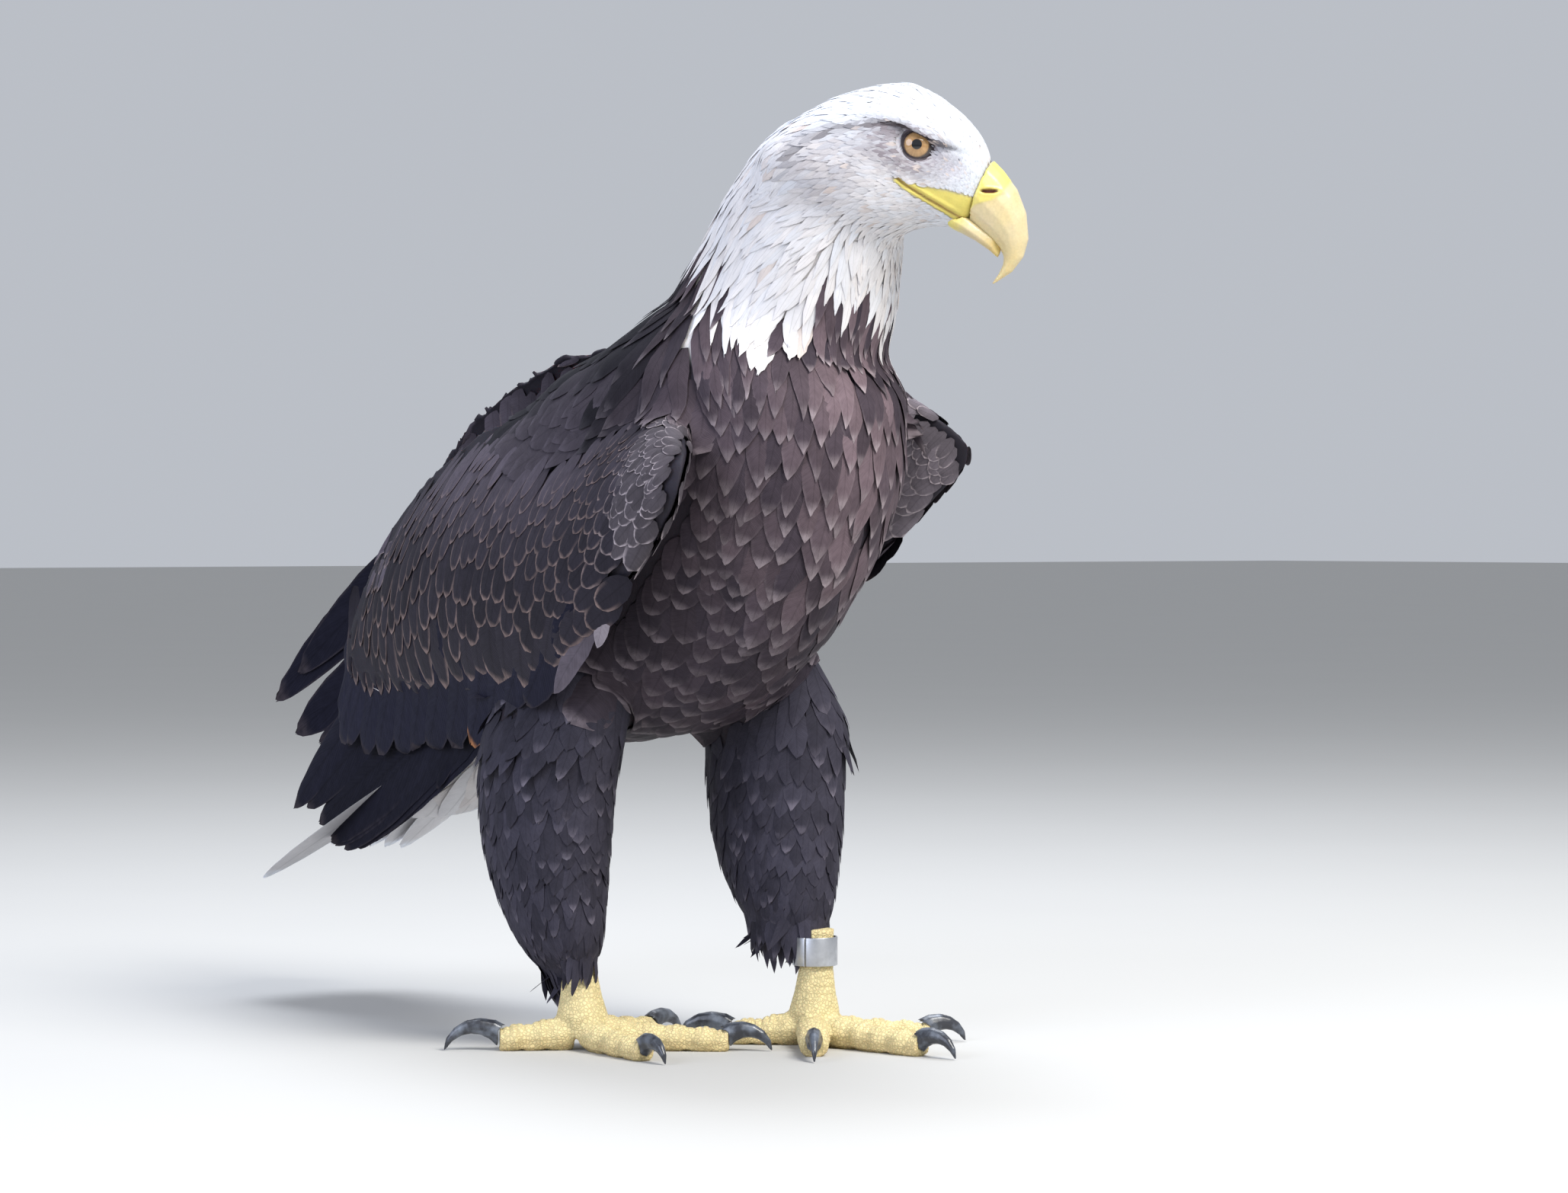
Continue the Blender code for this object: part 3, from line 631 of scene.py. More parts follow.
def vane_tree():
    """Geometry Nodes: a thin closed vane on every root, laid over the guide."""
    tree = bpy.data.node_groups.new("vanes over a coat", "GeometryNodeTree")
    for name, kind in (
            ("Roots", "Geometry"), ("Guide", "Object"), ("Columns", "Int"), ("Rows", "Int"),
            ("Thickness", "Float"), ("Camber", "Float"), ("Ragged", "Float"), ("Seed", "Int"),
            ("Patch width", "Float"), ("Patch length", "Float"), ("Finish", "Material")):
        tree.interface.new_socket(name, in_out="INPUT", socket_type="NodeSocket" + kind)
    tree.interface.new_socket("Coat", in_out="OUTPUT", socket_type="NodeSocketGeometry")
    add = partial(node, tree)
    given = add("NodeGroupInput").outputs

    # one vane, two units wide and one long, its upper and lower face apart
    grid = add("GeometryNodeMeshGrid", 2.0, 1.0, given["Columns"], given["Rows"])
    x, y, _ = add(SPLIT, add("GeometryNodeInputPosition")).outputs
    along = add(MINUS, 1.0, add(POWER, add(MINUS, 0.5, y), 1.35))
    inner = add(MINUS, 1.0, add(TIMES, x, x))
    ends = add(MINUS, 0.25, add(TIMES, y, y))
    body = add(TIMES, inner, add(POWER, add(TIMES, ends, 4.0), 0.4))
    marked = grid
    for name, value in (("along", along), ("across", x)):
        marked = add(KEEP, marked, Name=name, Value=value, data_type="FLOAT", domain="POINT")
    vane = add("GeometryNodeJoinGeometry")
    for sign in (1.0, -1.0):
        lift = add(TIMES, body, sign)
        layer = add(KEEP, marked, Name="rise", Value=lift, data_type="FLOAT", domain="POINT")
        layer = add("GeometryNodeSetPosition", layer, Offset=add(COMBINE, {2: lift}))
        if sign < 0:
            layer = add("GeometryNodeFlipFaces", layer)
        feed(tree, vane, {0: layer})
    vane = add("GeometryNodeMergeByDistance", vane, Distance=0.0005)
    vane = add("GeometryNodeSetShadeSmooth", vane)
    # the rim is a crease, so that each side is lit as the flat sheet it is
    ends = add("GeometryNodeInputMeshEdgeVertices").outputs
    one, two = (add(SIZE_OF, add(SPLIT, ends[name]).outputs[2])
                for name in ("Position 1", "Position 2"))
    rim = add(MATH, add(PLUS, one, two), 0.0001, operation="LESS_THAN")
    vane = add("GeometryNodeSetShadeSmooth", vane, Selection=rim, Shade_Smooth=False,
               domain="EDGE")
    placed = add("GeometryNodeInstanceOnPoints", given["Roots"], Instance=vane)
    # each vane is bent to its own place on the guide, so they turn real first
    real = add("GeometryNodeRealizeInstances", placed)

    held = {}
    for kind, names in (
            ("FLOAT", ("along", "across", "rise", "point", "wide", "bend", "low", "high", "free")),
            ("FLOAT_VECTOR", ("root", "reach", "side", "up", "outward", "skin_place"))):
        for name in names:
            held[name] = add("GeometryNodeInputNamedAttribute", name, data_type=kind).outputs[0]
    t = held["along"]
    s = held["across"]
    point = held["point"]
    root = held["root"]
    # outline: opens from the quill, then closes round or to a point
    wide = add(LEAST, add(TIMES_PLUS, t, 2.6, 0.34), 1.0)
    start = add(RANGE, point, 0.0, 1.0, 0.60, 0.22)
    past = add(POWER, add(RANGE, t, start, 1.0, 0.0, 1.0), 2.0)
    power = add(RANGE, point, 0.0, 1.0, 0.5, 1.05)
    shut = add(POWER, add(MINUS, 1.0, past), power)
    shape = add(MOST, add(TIMES, wide, shut), 0.05)
    # ragged edges: every root and row has its own nick
    seed = add(SCALED, root, Scale=977.0)
    spot = add(VECTOR_PLUS, add(COMBINE, t, s, t), seed)
    nick = add("ShaderNodeTexWhiteNoise", Vector=spot, W=given["Seed"], noise_dimensions="4D")
    nick = add(TIMES, add(MINUS, nick, 0.5), given["Ragged"])
    wide = add(TIMES, add(TIMES, shape, add(PLUS, nick, 1.0)), held["wide"])
    offset = add(TIMES_PLUS, add(TIMES, t, t), held["bend"], add(TIMES, wide, s))
    late = add(TIMES, add(POWER, t, 6.0), nick)
    reach_t = add(TIMES_PLUS, late, 0.35, t)
    flat = add(VECTOR_PLUS, add(SCALED, held["reach"], Scale=reach_t), root)
    flat = add(VECTOR_PLUS, flat, add(SCALED, held["side"], Scale=offset))
    # height over the guide: low at the quill, high at the tip, crowned across
    height = add(RANGE, t, 0.0, 1.0, held["low"], held["high"])
    crown = add(TIMES, add(MINUS, 1.0, add(TIMES, s, s)), wide)
    crown = add(TIMES_PLUS, crown, given["Camber"], height)
    height = add(TIMES_PLUS, held["rise"], given["Thickness"], crown)
    guide = add("GeometryNodeObjectInfo", given["Guide"]).outputs["Geometry"]
    near = add("GeometryNodeProximity", guide, Sample_Position=flat, target_element="FACES")
    out = add("GeometryNodeSampleNearestSurface", guide, Value=held["outward"],
              Sample_Position=flat, data_type="FLOAT_VECTOR")
    out = add(VECTOR, out, operation="NORMALIZE")
    laid = add(VECTOR_PLUS, add(SCALED, out, Scale=height), near)
    own = add(VECTOR_PLUS, add(SCALED, held["up"], Scale=height), flat)
    free = add(TIMES, t, held["free"], use_clamp=True)
    final = add(MIX, {0: free, 4: laid, 5: own}, data_type="VECTOR")
    coat = add("GeometryNodeSetPosition", real, Position=final)
    # the vane's own map, and the patch at its root's place on the skin's unwrap
    own_map = add(COMBINE, add(TIMES_PLUS, s, 0.5, 0.5), t)
    u = add(TIMES, add(TIMES, s, 0.5), given["Patch width"])
    v = add(TIMES, add(MINUS, t, 0.5), given["Patch length"])
    patch = add(VECTOR_PLUS, add(COMBINE, u, v), held["skin_place"])
    for name, value in (("Feather", own_map), ("OFBake", patch)):
        coat = add(KEEP, coat, Name=name, Value=value, data_type="FLOAT2", domain="CORNER")
    for name in held:
        if name != "outward":
            coat = add("GeometryNodeRemoveAttribute", coat, Name=name)
    coat = add("GeometryNodeRealizeInstances", coat)
    coat = add("GeometryNodeSetMaterial", coat, Material=given["Finish"])
    add("NodeGroupOutput", coat)
    return tree


# ------------------------------------------------------------ lie and growth
def line_samples(lines, to_world=None, middle=0):
    """Places and ways along lie lines, on both sides when they go to the world."""
    places = []
    ways = []
    for line in lines:
        for flip in (False, True) if to_world else (False,):
            row = np.array(line, float)
            if flip:
                row[:, 0] = 2 * middle - row[:, 0]
            row = to_world(row) if to_world else row
            for a, b in zip(row, row[1:]):
                long_ = np.linalg.norm(b - a)
                steps = max(2, int(long_ / LIE_STEP)) if to_world else 6
                for k in range(steps):
                    places.append(a + (b - a) * (k + 0.5) / steps)
                    ways.append((b - a) / long_)
    return np.array(places), np.array(ways)


def blend_from(points, places, values, power=4, chunk=4000):
    """Values at points, each weighted by nearness to the given places."""
    out = np.zeros((len(points), values.shape[1]))
    for start in range(0, len(points), chunk):
        part = points[start:start + chunk]
        gap = ((part[:, None, :] - places[None, :, :]) ** 2).sum(axis=2)
        weight = 1.0 / (gap + 1e-6) ** (power / 2)
        out[start:start + chunk] = (weight @ values) / weight.sum(axis=1, keepdims=True)
    return out


def thigh_local(points, zone):
    """Thigh places brought to one shared thigh: the left leg stands forward."""
    local = bird_mm(points)
    forward = np.where(zone == THIGH_ZONES[1], LEFT_FOOT_FORWARD, 0.0)
    local[:, 1] += forward * np.clip((local[:, 2] - 20) / 120, 0.6, 1.0)
    return folded(local)


def wing_frame(points):
    """Places in the bird's millimetres, the left wing's brought to the right."""
    local = bird_mm(points)
    back = np.array(left_wing_place().inverted())
    turned = bird_mm(np.asarray(points, float) @ back[:3, :3].T + back[:3, 3])
    return np.where(local[:, :1] > MIDDLE, turned, local)


def wing_blend(points, rows):
    """One row for each of the wing's plumes, blended at places on either wing."""
    spots = np.column_stack((np.zeros(len(rows)), np.array(WING_PLUMES)[:, :2]))
    return blend_from(wing_frame(points) * (0, 1, 1), spots, rows)


def plume_fields(points, zone):
    """Length, width, point and tip height that feathers have at places."""
    places = [head_world([row[0]])[0] for row in HEAD_PLUMES]
    places += [head_world([(-row[0][0], row[0][1], row[0][2])])[0] for row in HEAD_PLUMES]
    values = [row[1:] for row in HEAD_PLUMES] * 2
    for x_sign in (1, -1):
        for row in BODY_PLUMES:
            x = (row[0][0] - MIDDLE) * x_sign + MIDDLE
            places.append(bird_world([(x, *row[0][1:])])[0])
            values.append(row[1:])
    fields = blend_from(points, np.array(places), np.array(values, float))
    thigh = np.isin(zone, THIGH_ZONES)
    if thigh.any():
        spots = np.array([row[0] for row in THIGH_PLUMES], float)
        rows = np.array([row[1:] for row in THIGH_PLUMES], float)
        fields[thigh] = blend_from(thigh_local(points, zone)[thigh], spots, rows)
    arms = np.isin(zone, ARM_ZONES)
    if arms.any():
        sizes = np.array(WING_PLUMES, float)[:, 2:4]
        rows = np.column_stack((sizes, np.full(sizes.shape, WRIST_POINT_AND_HEIGHT)))
        fields[arms] = wing_blend(points[arms], rows)
    return fields


def lie_of(points, normals, zone, edges):
    """The way that feathers point at each place of the skin."""
    head_places, head_ways = line_samples(HEAD_LINES, head_world, 0)
    body_places, body_ways = line_samples(BODY_LINES, bird_world, 4)
    lie = blend_from(points, np.vstack((head_places, body_places)),
                     np.vstack((head_ways, body_ways)))
    thigh = np.isin(zone, THIGH_ZONES)
    turned = blend_from(thigh_local(points, zone)[thigh], *line_samples(THIGH_LINES))
    turned[:, 0] *= np.sign(bird_mm(points)[thigh, 0])
    lie[thigh] = turned
    arms = np.isin(zone, ARM_ZONES)
    ways = np.array(WING_PLUMES, float)[:, 4:]
    turned = wing_blend(points[arms], np.column_stack((np.zeros(len(ways)), ways)))
    left = bird_mm(points)[arms, 0] > MIDDLE
    turned[left] = turned[left] @ np.array(left_wing_place().to_3x3()).T
    lie[arms] = turned
    for _ in range(3):
        lie = unit(lie - normals * (lie * normals).sum(axis=1, keepdims=True))
        lie = averaged(lie, edges, 3)
    return unit(lie - normals * (lie * normals).sum(axis=1, keepdims=True))


def scatter(places, ways, sides, gap_along, gap_across):
    """Keeps the places that stand clear of those kept before them."""
    size = np.maximum(gap_along, gap_across)
    least = size.min()
    level = np.floor(np.log(size / least) / math.log(1.5)).astype(int)
    cell = [least * 1.5 ** (k + 1) for k in range(level.max() + 1)]
    grids = [{} for _ in cell]
    spot, way, side, long_, wide = (
        part.tolist() for part in (places, ways, sides, gap_along, gap_across))

    def clear(i):
        """True if no kept place is within a feather's own gaps of this one."""
        x, y, z = spot[i]
        wx, wy, wz = way[i]
        sx, sy, sz = side[i]
        a2 = 1 / long_[i] ** 2
        b2 = 1 / wide[i] ** 2
        for k in range(max(0, level[i] - 1), min(len(cell), level[i] + 2)):
            c = cell[k]
            ix, iy, iz = int(x // c), int(y // c), int(z // c)
            for jx, jy, jz in NEAR_CELLS:
                for j in grids[k].get((ix + jx, iy + jy, iz + jz), ()):
                    dx = spot[j][0] - x
                    dy = spot[j][1] - y
                    dz = spot[j][2] - z
                    da = dx * wx + dy * wy + dz * wz
                    db = dx * sx + dy * sy + dz * sz
                    dn = dx * dx + dy * dy + dz * dz - da * da - db * db
                    if da * da * a2 + (db * db + max(dn, 0)) * b2 < 1:
                        return False
        return True

    kept = []
    for i, place in enumerate(spot):
        if clear(i):
            c = cell[level[i]]
            grids[level[i]].setdefault(tuple(int(v // c) for v in place), []).append(i)
            kept.append(i)
    return np.array(kept)


# ------------------------------------------------------------------ the skin
def solids_tree(names):
    """One search tree over several solids, and whose each of its faces is."""
    verts = []
    faces = []
    owner = []
    for index, name in enumerate(names):
        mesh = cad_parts[name].data
        base = len(verts)
        verts += [v.co for v in mesh.vertices]
        faces += [tuple(base + i for i in p.vertices) for p in mesh.polygons]
        owner += [index] * len(mesh.polygons)
    return BVHTree.FromPolygons(verts, faces), owner


def zones_of(points):
    """Which body solid each place belongs to."""
    tree, owner = solids_tree(BODY_NODES)
    return np.array([owner[tree.find_nearest(Vector(p))[2]] for p in points])


def coat_depth(mesh):
    """How far the skin lies under the solids: the coat's own height."""
    points = points_of(mesh)
    normals = normals_of(mesh)
    edges = edges_of(mesh)
    zone = zones_of(points)
    depth = plume_fields(points, zone)[:, 3] - 0.4
    arms = np.isin(zone, ARM_ZONES)
    depth[arms] = np.interp(wing_frame(points)[arms, 1], (-112, -70), (1.6, 5.0))
    tree = tree_of(mesh)
    for i, (p, n) in enumerate(zip(points, normals)):
        start = Vector(p - n * 0.0004)
        hit = tree.ray_cast(start, Vector(-n), 0.06)
        if hit[0] is not None:
            depth[i] = min(depth[i], 0.38 * hit[3] / MM)
    depth = averaged(depth, edges, 12)
    return points - normals * depth[:, None] * MM


def lid_reach(away):
    """How far places lie outside the opening of the lids, from the eye's centre."""
    up = unit(np.array((0.0, 0.0, 1.0)) - EYE_AXIS * EYE_AXIS[2])
    ahead = np.cross(up, EYE_AXIS)
    ahead *= -np.sign(ahead[1])
    high = away @ up
    fore = away @ ahead
    table = np.array(LID_OPENING, float)
    turn = np.degrees(np.arctan2(high, fore)) % 360
    return np.hypot(high, fore) - np.interp(turn, table[:, 0], table[:, 1])


def brow_height(local):
    """How high places lie over the edge of the brow."""
    table = np.array(BROW_LINE, float)
    return local[:, 2] - np.interp(local[:, 1], table[:, 1], table[:, 2])


def gape_height(local):
    """How high places lie over the line of the mouth, and how long it runs there."""
    table = np.array(GAPE_LINE, float)
    over = local[:, 2] - np.interp(local[:, 1], table[:, 1], table[:, 2])
    inside = smooth(-40, -37, local[:, 1]) * smooth(6.5, 4.0, local[:, 1])
    return over, inside


def lip_height(y):
    """The bare yellow skin over the mouth widens forward to the cere."""
    return np.interp(y, (-36, -33, -23, -15, -4, 5), (13.5, 12.5, 9.5, 6.5, 3.2, 1.0))


def shape_face(points):
    """Sockets, brow, hollow of the lore and gape, worked into the head's skin."""
    local = head_mm(points)
    sign = np.where(local[:, 0] < 0, -1.0, 1.0)
    local[:, 0] = np.abs(local[:, 0])
    y = local[:, 1].copy()
    z = local[:, 2].copy()
    lateral = smooth(6, 16, local[:, 0])
    lore = np.exp(-((y + 21) / 8) ** 2 - ((z + 3) / 6.5) ** 2)
    behind = np.exp(-((y - 16) / 7) ** 2 - ((z - 1) / 4.5) ** 2)
    local[:, 0] -= (1.6 * lore + 0.9 * behind) * lateral
    # the brow stands out over the eye like the peak of a cap
    over = brow_height(local)
    strength = np.interp(y, (-32, -22, -12, -4, 10, 18, 30), (0.0, 1.6, 4.4, 5.4, 4.8, 3.0, 0.0))
    rise = np.where(over > 0, hill(over, 8.0), hill(over, 1.5))
    push = strength * rise * lateral
    local += push[:, None] * np.array((0.96, -0.12, -0.22))
    # the lids' bed follows the eyeball, and drops behind it in the opening
    away = local - np.array(EYE_AT)
    radius = np.linalg.norm(away, axis=1)
    off = lid_reach(away)
    bed = EYE_RADIUS + 0.15 - 2.6 * (1 - smooth(-1.2, 0.2, off))
    pull = (1 - smooth(1.8, 6.0, off)) * (away @ EYE_AXIS > 0)
    pull *= 1 - smooth(0.4, 2.5, push)
    goal = np.array(EYE_AT) + away / np.maximum(radius, 1e-6)[:, None] * bed[:, None]
    local = local + (goal - local) * pull[:, None]
    over, inside = gape_height(local)
    ridge = 0.9 * hill(over - 1.8, 1.2) + 0.6 * hill(over + 1.7, 1.0)
    local[:, 0] += (ridge - 1.5 * hill(over, 0.75)) * inside * lateral
    local[:, 0] *= sign
    return head_world(local)


def refine_face(obj):
    """Finer faces where the eye, the brow and the gape are."""
    with edited(obj.data) as bm:
        centres = head_mm([face.calc_center_median() for face in bm.faces])
        chosen = (centres[:, 1] < 24) & (centres[:, 2] > -42) & (np.abs(centres[:, 0]) < 45)
        edges = set()
        for face, pick in zip(bm.faces, chosen):
            if pick:
                edges.update(face.edges)
        bmesh.ops.subdivide_edges(bm, edges=list(edges), cuts=2, use_grid_fill=True)
    points = points_of(obj.data)
    local = head_mm(points)
    inside = (local[:, 1] < 26) & (local[:, 2] > -44) & (np.abs(local[:, 0]) < 46)
    points = averaged(points, edges_of(obj.data), 6, inside)
    set_points(obj.data, points)


def select(active, *others):
    bpy.ops.object.select_all(action="DESELECT")
    for obj in (*others, active):
        obj.select_set(True)
    bpy.context.view_layer.objects.active = active


def unwrap(obj):
    """The skin's own unwrap, which the coat's patches are placed on."""
    select(obj)
    obj.data.uv_layers.new(name="OFBake")
    bpy.ops.object.mode_set(mode="EDIT")
    bpy.ops.mesh.select_all(action="SELECT")
    bpy.ops.uv.smart_project(angle_limit=math.radians(66), island_margin=0.004)
    bpy.ops.object.mode_set(mode="OBJECT")


def body_shell(look):
    mesh = joined(BODY_NODES + ("eye_right", "eye_left"), 0.2, cut_tail=True)
    obj = remeshed("skin", mesh, look.skin_step / MM, 8)
    set_points(obj.data, coat_depth(obj.data))
    points = averaged(points_of(obj.data), edges_of(obj.data), 4)
    set_points(obj.data, points)
    unwrap(obj)
    refine_face(obj)
    points = shape_face(points_of(obj.data))
    set_points(obj.data, points)
    return obj


def toe_pattern(points, normals, side):
    """Broad plates down the top of each toe and the front of the shank."""
    foot = np.array(FOOT_AT[side], float)
    local = bird_mm(points)
    flat = local[:, :2] - foot
    best = np.full(len(points), 1e9)
    along = np.zeros(len(points))
    for degrees in TOE_HEADINGS[side]:
        turn = math.radians(degrees)
        ahead = np.array((math.sin(turn), -math.cos(turn)))
        go = flat @ ahead
        off = np.abs(flat @ np.array((-ahead[1], ahead[0])))
        off = np.where(go > 0, off, 1e9)
        near = off < best
        best[near] = off[near]
        along[near] = go[near]
    toe = smooth(15, 22, along) * (local[:, 2] < 30)
    top = smooth(0.35, 0.75, normals[:, 2]) * toe
    wave = np.abs(np.sin(math.pi * along / 4.4))
    plates = 1.15 * (hill(wave, 0.42)) * top
    # pads swell between the joints, and the skin folds at each joint
    pads = 0.5 - 0.5 * np.cos(2 * math.pi * (along - 16) / 16)
    plates += (1.3 - 1.5 * pads) * toe * smooth(0.9, 0.2, np.maximum(-normals[:, 2], 0))
    front = smooth(0.35, 0.8, -normals[:, 1]) * smooth(24, 30, local[:, 2])
    wave = np.abs(np.sin(math.pi * local[:, 2] / 5.0))
    plates += 0.5 * hill(wave, 0.4) * front
    return points - normals * plates[:, None] * MM


def feet_shell(look):
    """The skin of both feet, with its folds, pads and flat soles."""
    obj = remeshed("feet", joined(FOOT_NODES, 0.4), look.foot_step / MM, 5)
    points = points_of(obj.data)
    normals = normals_of(obj.data)
    left = bird_mm(points)[:, 0] > MIDDLE
    worked = np.where(left[:, None], toe_pattern(points, normals, "left"),
                      toe_pattern(points, normals, "right"))
    worked[:, 2] = np.where(worked[:, 2] < 0.0007, 0.0, worked[:, 2])
    # the shank narrows where it goes up under the leg's feathers
    high = bird_mm(worked)[:, 2]
    for mine in (left, ~left):
        shaft = mine & (high > SHANK_TOP)
        middle = worked[shaft].mean(axis=0)
        over = (high[shaft] - SHANK_TOP)[:, None]
        slim = np.interp(over, (0, 8), (1.0, 0.35))
        worked[shaft, :2] = middle[:2] + (worked[shaft, :2] - middle[:2]) * slim
        worked[shaft, 1] += 1.1 * over[:, 0] * MM
        worked[shaft, 2] -= 0.9 * over[:, 0] * MM
    set_points(obj.data, worked)
    return obj


def lid_ring(side, look):
    """The rim of both lids round one eye: a dark wet edge and a paler roll."""
    axis = Vector(EYE_AXIS)
    up = (Vector((0, 0, 1)) - axis * axis.z).normalized()
    ahead = up.cross(axis)
    ahead *= -1 if ahead.y > 0 else 1
    table = np.array(LID_OPENING, float)
    verts = []
    faces = []
    shade = []
    profile = (                # outside the opening, over the eyeball, how pale
        (-0.5, -1.2, 0), (-0.1, 0.1, 0), (0.1, 0.7, 0.1), (0.6, 1.15, 0.6), (1.3, 1.2, 1),
        (2.2, 1.0, 0.8), (3.4, 0.5, 0.7), (4.4, -0.9, 0.6), (4.2, -2.2, 0.5),
    )
    steps = 72
    for k in range(steps):
        turn = math.tau * k / steps
        ring = ahead * math.cos(turn) + up * math.sin(turn)
        reach = np.interp(math.degrees(turn), table[:, 0], table[:, 1])
        for off, over, pale in profile:
            polar = math.asin(min(reach / EYE_RADIUS, 0.97)) + off / EYE_RADIUS
            place = Vector(EYE_AT) + (axis * math.cos(polar) + ring * math.sin(polar)) * (
                EYE_RADIUS + over)
            place.x *= 1 if side == "left" else -1
            verts.append(head_world([place])[0])
            # the upper lid is painted darker than the lower one: painted shade from the brow over
            # it
            shade.append(pale * (0.55 - 0.45 * math.sin(turn)))
    rows = len(profile)
    for k in range(steps):
        m = (k + 1) % steps
        for i in range(rows):
            n = (i + 1) % rows
            faces.append((k * rows + i, m * rows + i, m * rows + n, k * rows + n))
    mesh = made_mesh("lids", verts, faces)
    with edited(mesh) as bm:
        bmesh.ops.recalc_face_normals(bm, faces=bm.faces)
    mesh.shade_smooth()
    store(mesh, "skin_colour", colours(mix_rows(look.lid[:], look.dusty[:], shade)))
    store(mesh, "scaly", np.zeros(len(verts)))
    return show("lids_" + side, mesh)


# -------------------------------------------------------------- the markings
def neck_turn(spot):
    """The turn round the neck from its front, at places in millimetres."""
    return np.arctan2(spot[:, 0] - MIDDLE, -(spot[:, 1] + 80))


def white_height(turn):
    table = np.array(WHITE_EDGE, float)
    return np.interp(np.degrees(turn), table[:, 0], table[:, 1])


def whiteness(tips, zone_is_front, rng):
    """True where a feather ends above the ragged edge of the white."""
    edge = white_height(neck_turn(tips)) + rng.normal(0, 6.0, len(tips))
    white = (tips[:, 2] > edge) & zone_is_front
    for x, y, z, reach in LONE_WHITE:
        white |= np.linalg.norm(tips - (x, y, z), axis=1) < reach
    return white


def mix_rows(a, b, share):
    """Colours between a and b, each a row for every place or one for them all."""
    a = np.asarray(a, float)
    return a + (np.asarray(b, float) - a) * np.asarray(share)[:, None]


def head_colours(look, places, rng):
    """White plumage: cool crown, warmer cheek, grey round the eye and the painted shadow line."""
    local = folded(head_mm(places))
    count = len(places)
    low = smooth(8, -22, local[:, 2]) * smooth(-40, -4, local[:, 1])
    patch = np.clip(low * 0.8 + rng.normal(0, 0.16, count), 0, 1)
    base = mix_rows(look.white[:], look.warm_white[:], patch)
    # grey round the eye below the brow line, and a fainter grey patch on the cheek behind it
    eye = np.linalg.norm((local - (31, 4, -1)) * (1, 0.62, 1.0), axis=1)
    grey_near_eye = 0.95 * (1 - smooth(9, 24, eye)) * smooth(16, 9, local[:, 2])
    cheek = 0.42 * (1 - smooth(14, 34, np.linalg.norm((local - (36, 40, -20)), axis=1)))
    grey_near_eye = np.clip(np.maximum(grey_near_eye, cheek) * rng.uniform(0.55, 1.15, count), 0, 1)
    base = mix_rows(base, look.dusty[:], grey_near_eye)
    bare = np.exp(-((local[:, 1] + 22) / 9) ** 2 - ((local[:, 2] + 5) / 8) ** 2)
    base = mix_rows(base, look.lore[:], np.clip(bare * rng.uniform(0.7, 1.0, count), 0, 1))
    # painted shadow: a dark line behind the eye and under the edge of the brow, where the brow's
    # shade falls
    line, along = segment_distance(local, SHADOW_LINE)
    painted_shadow = hill(line, 2.4) * (1.0 - 0.3 * along) * rng.uniform(0.5, 1.15, count)
    painted_shadow = np.maximum(painted_shadow, painted_brow_shadow(local) * rng.uniform(0.7, 1.1, count))
    base = mix_rows(base, look.brow_dark[:], np.clip(painted_shadow, 0, 1))
    tinge = rng.random(count) < 0.05
    base[tinge] = mix_rows(base[tinge], look.neck_tinge[:], rng.uniform(0.3, 0.8, tinge.sum()))
    base *= rng.uniform(0.93, 1.03, count)[:, None]
    return base, np.clip(base * 1.06, 0, 0.97)


def painted_brow_shadow(local):
    """The painted shadow that runs along and under the edge of the brow."""
    over = brow_height(local)
    run = np.interp(local[:, 1], (-22, -15, -8, 14, 24), (0.0, 0.8, 1.0, 1.0, 0.0))
    return hill(over + 2.0, 1.5) * run


def brown_colours(look, places, rng):
    """Brown plumage: near-black mantle, warm breast, scaled darker belly."""
    x, y, z = bird_mm(places).T
    count = len(places)
    front = smooth(20, -70, y)
    high = smooth(250, 330, z)
    mantle = smooth(-100, -45, y) * smooth(315, 360, z)
    mantle = np.maximum(mantle, smooth(60, 110, y))
    centre = hill(x - 8, 62)
    share = front * (0.18 + 0.82 * high) * centre
    share = np.clip(share * rng.uniform(0.1, 1.35, count) + rng.normal(0, 0.06, count), 0, 1)
    vane = mix_rows(look.breast_dark[:], look.breast_warm[:], share)
    edge = mix_rows(look.belly_edge[:], look.breast_tip[:],
                    np.clip(high * front * centre, 0, 1))
    vane = mix_rows(vane, look.mantle[:], mantle)
    edge = mix_rows(edge, look.mantle_edge[:], mantle)
    vane *= rng.uniform(0.82, 1.18, count)[:, None]
    edge *= rng.uniform(0.75, 1.2, count)[:, None]
    return vane, np.clip(edge, 0, 0.9)


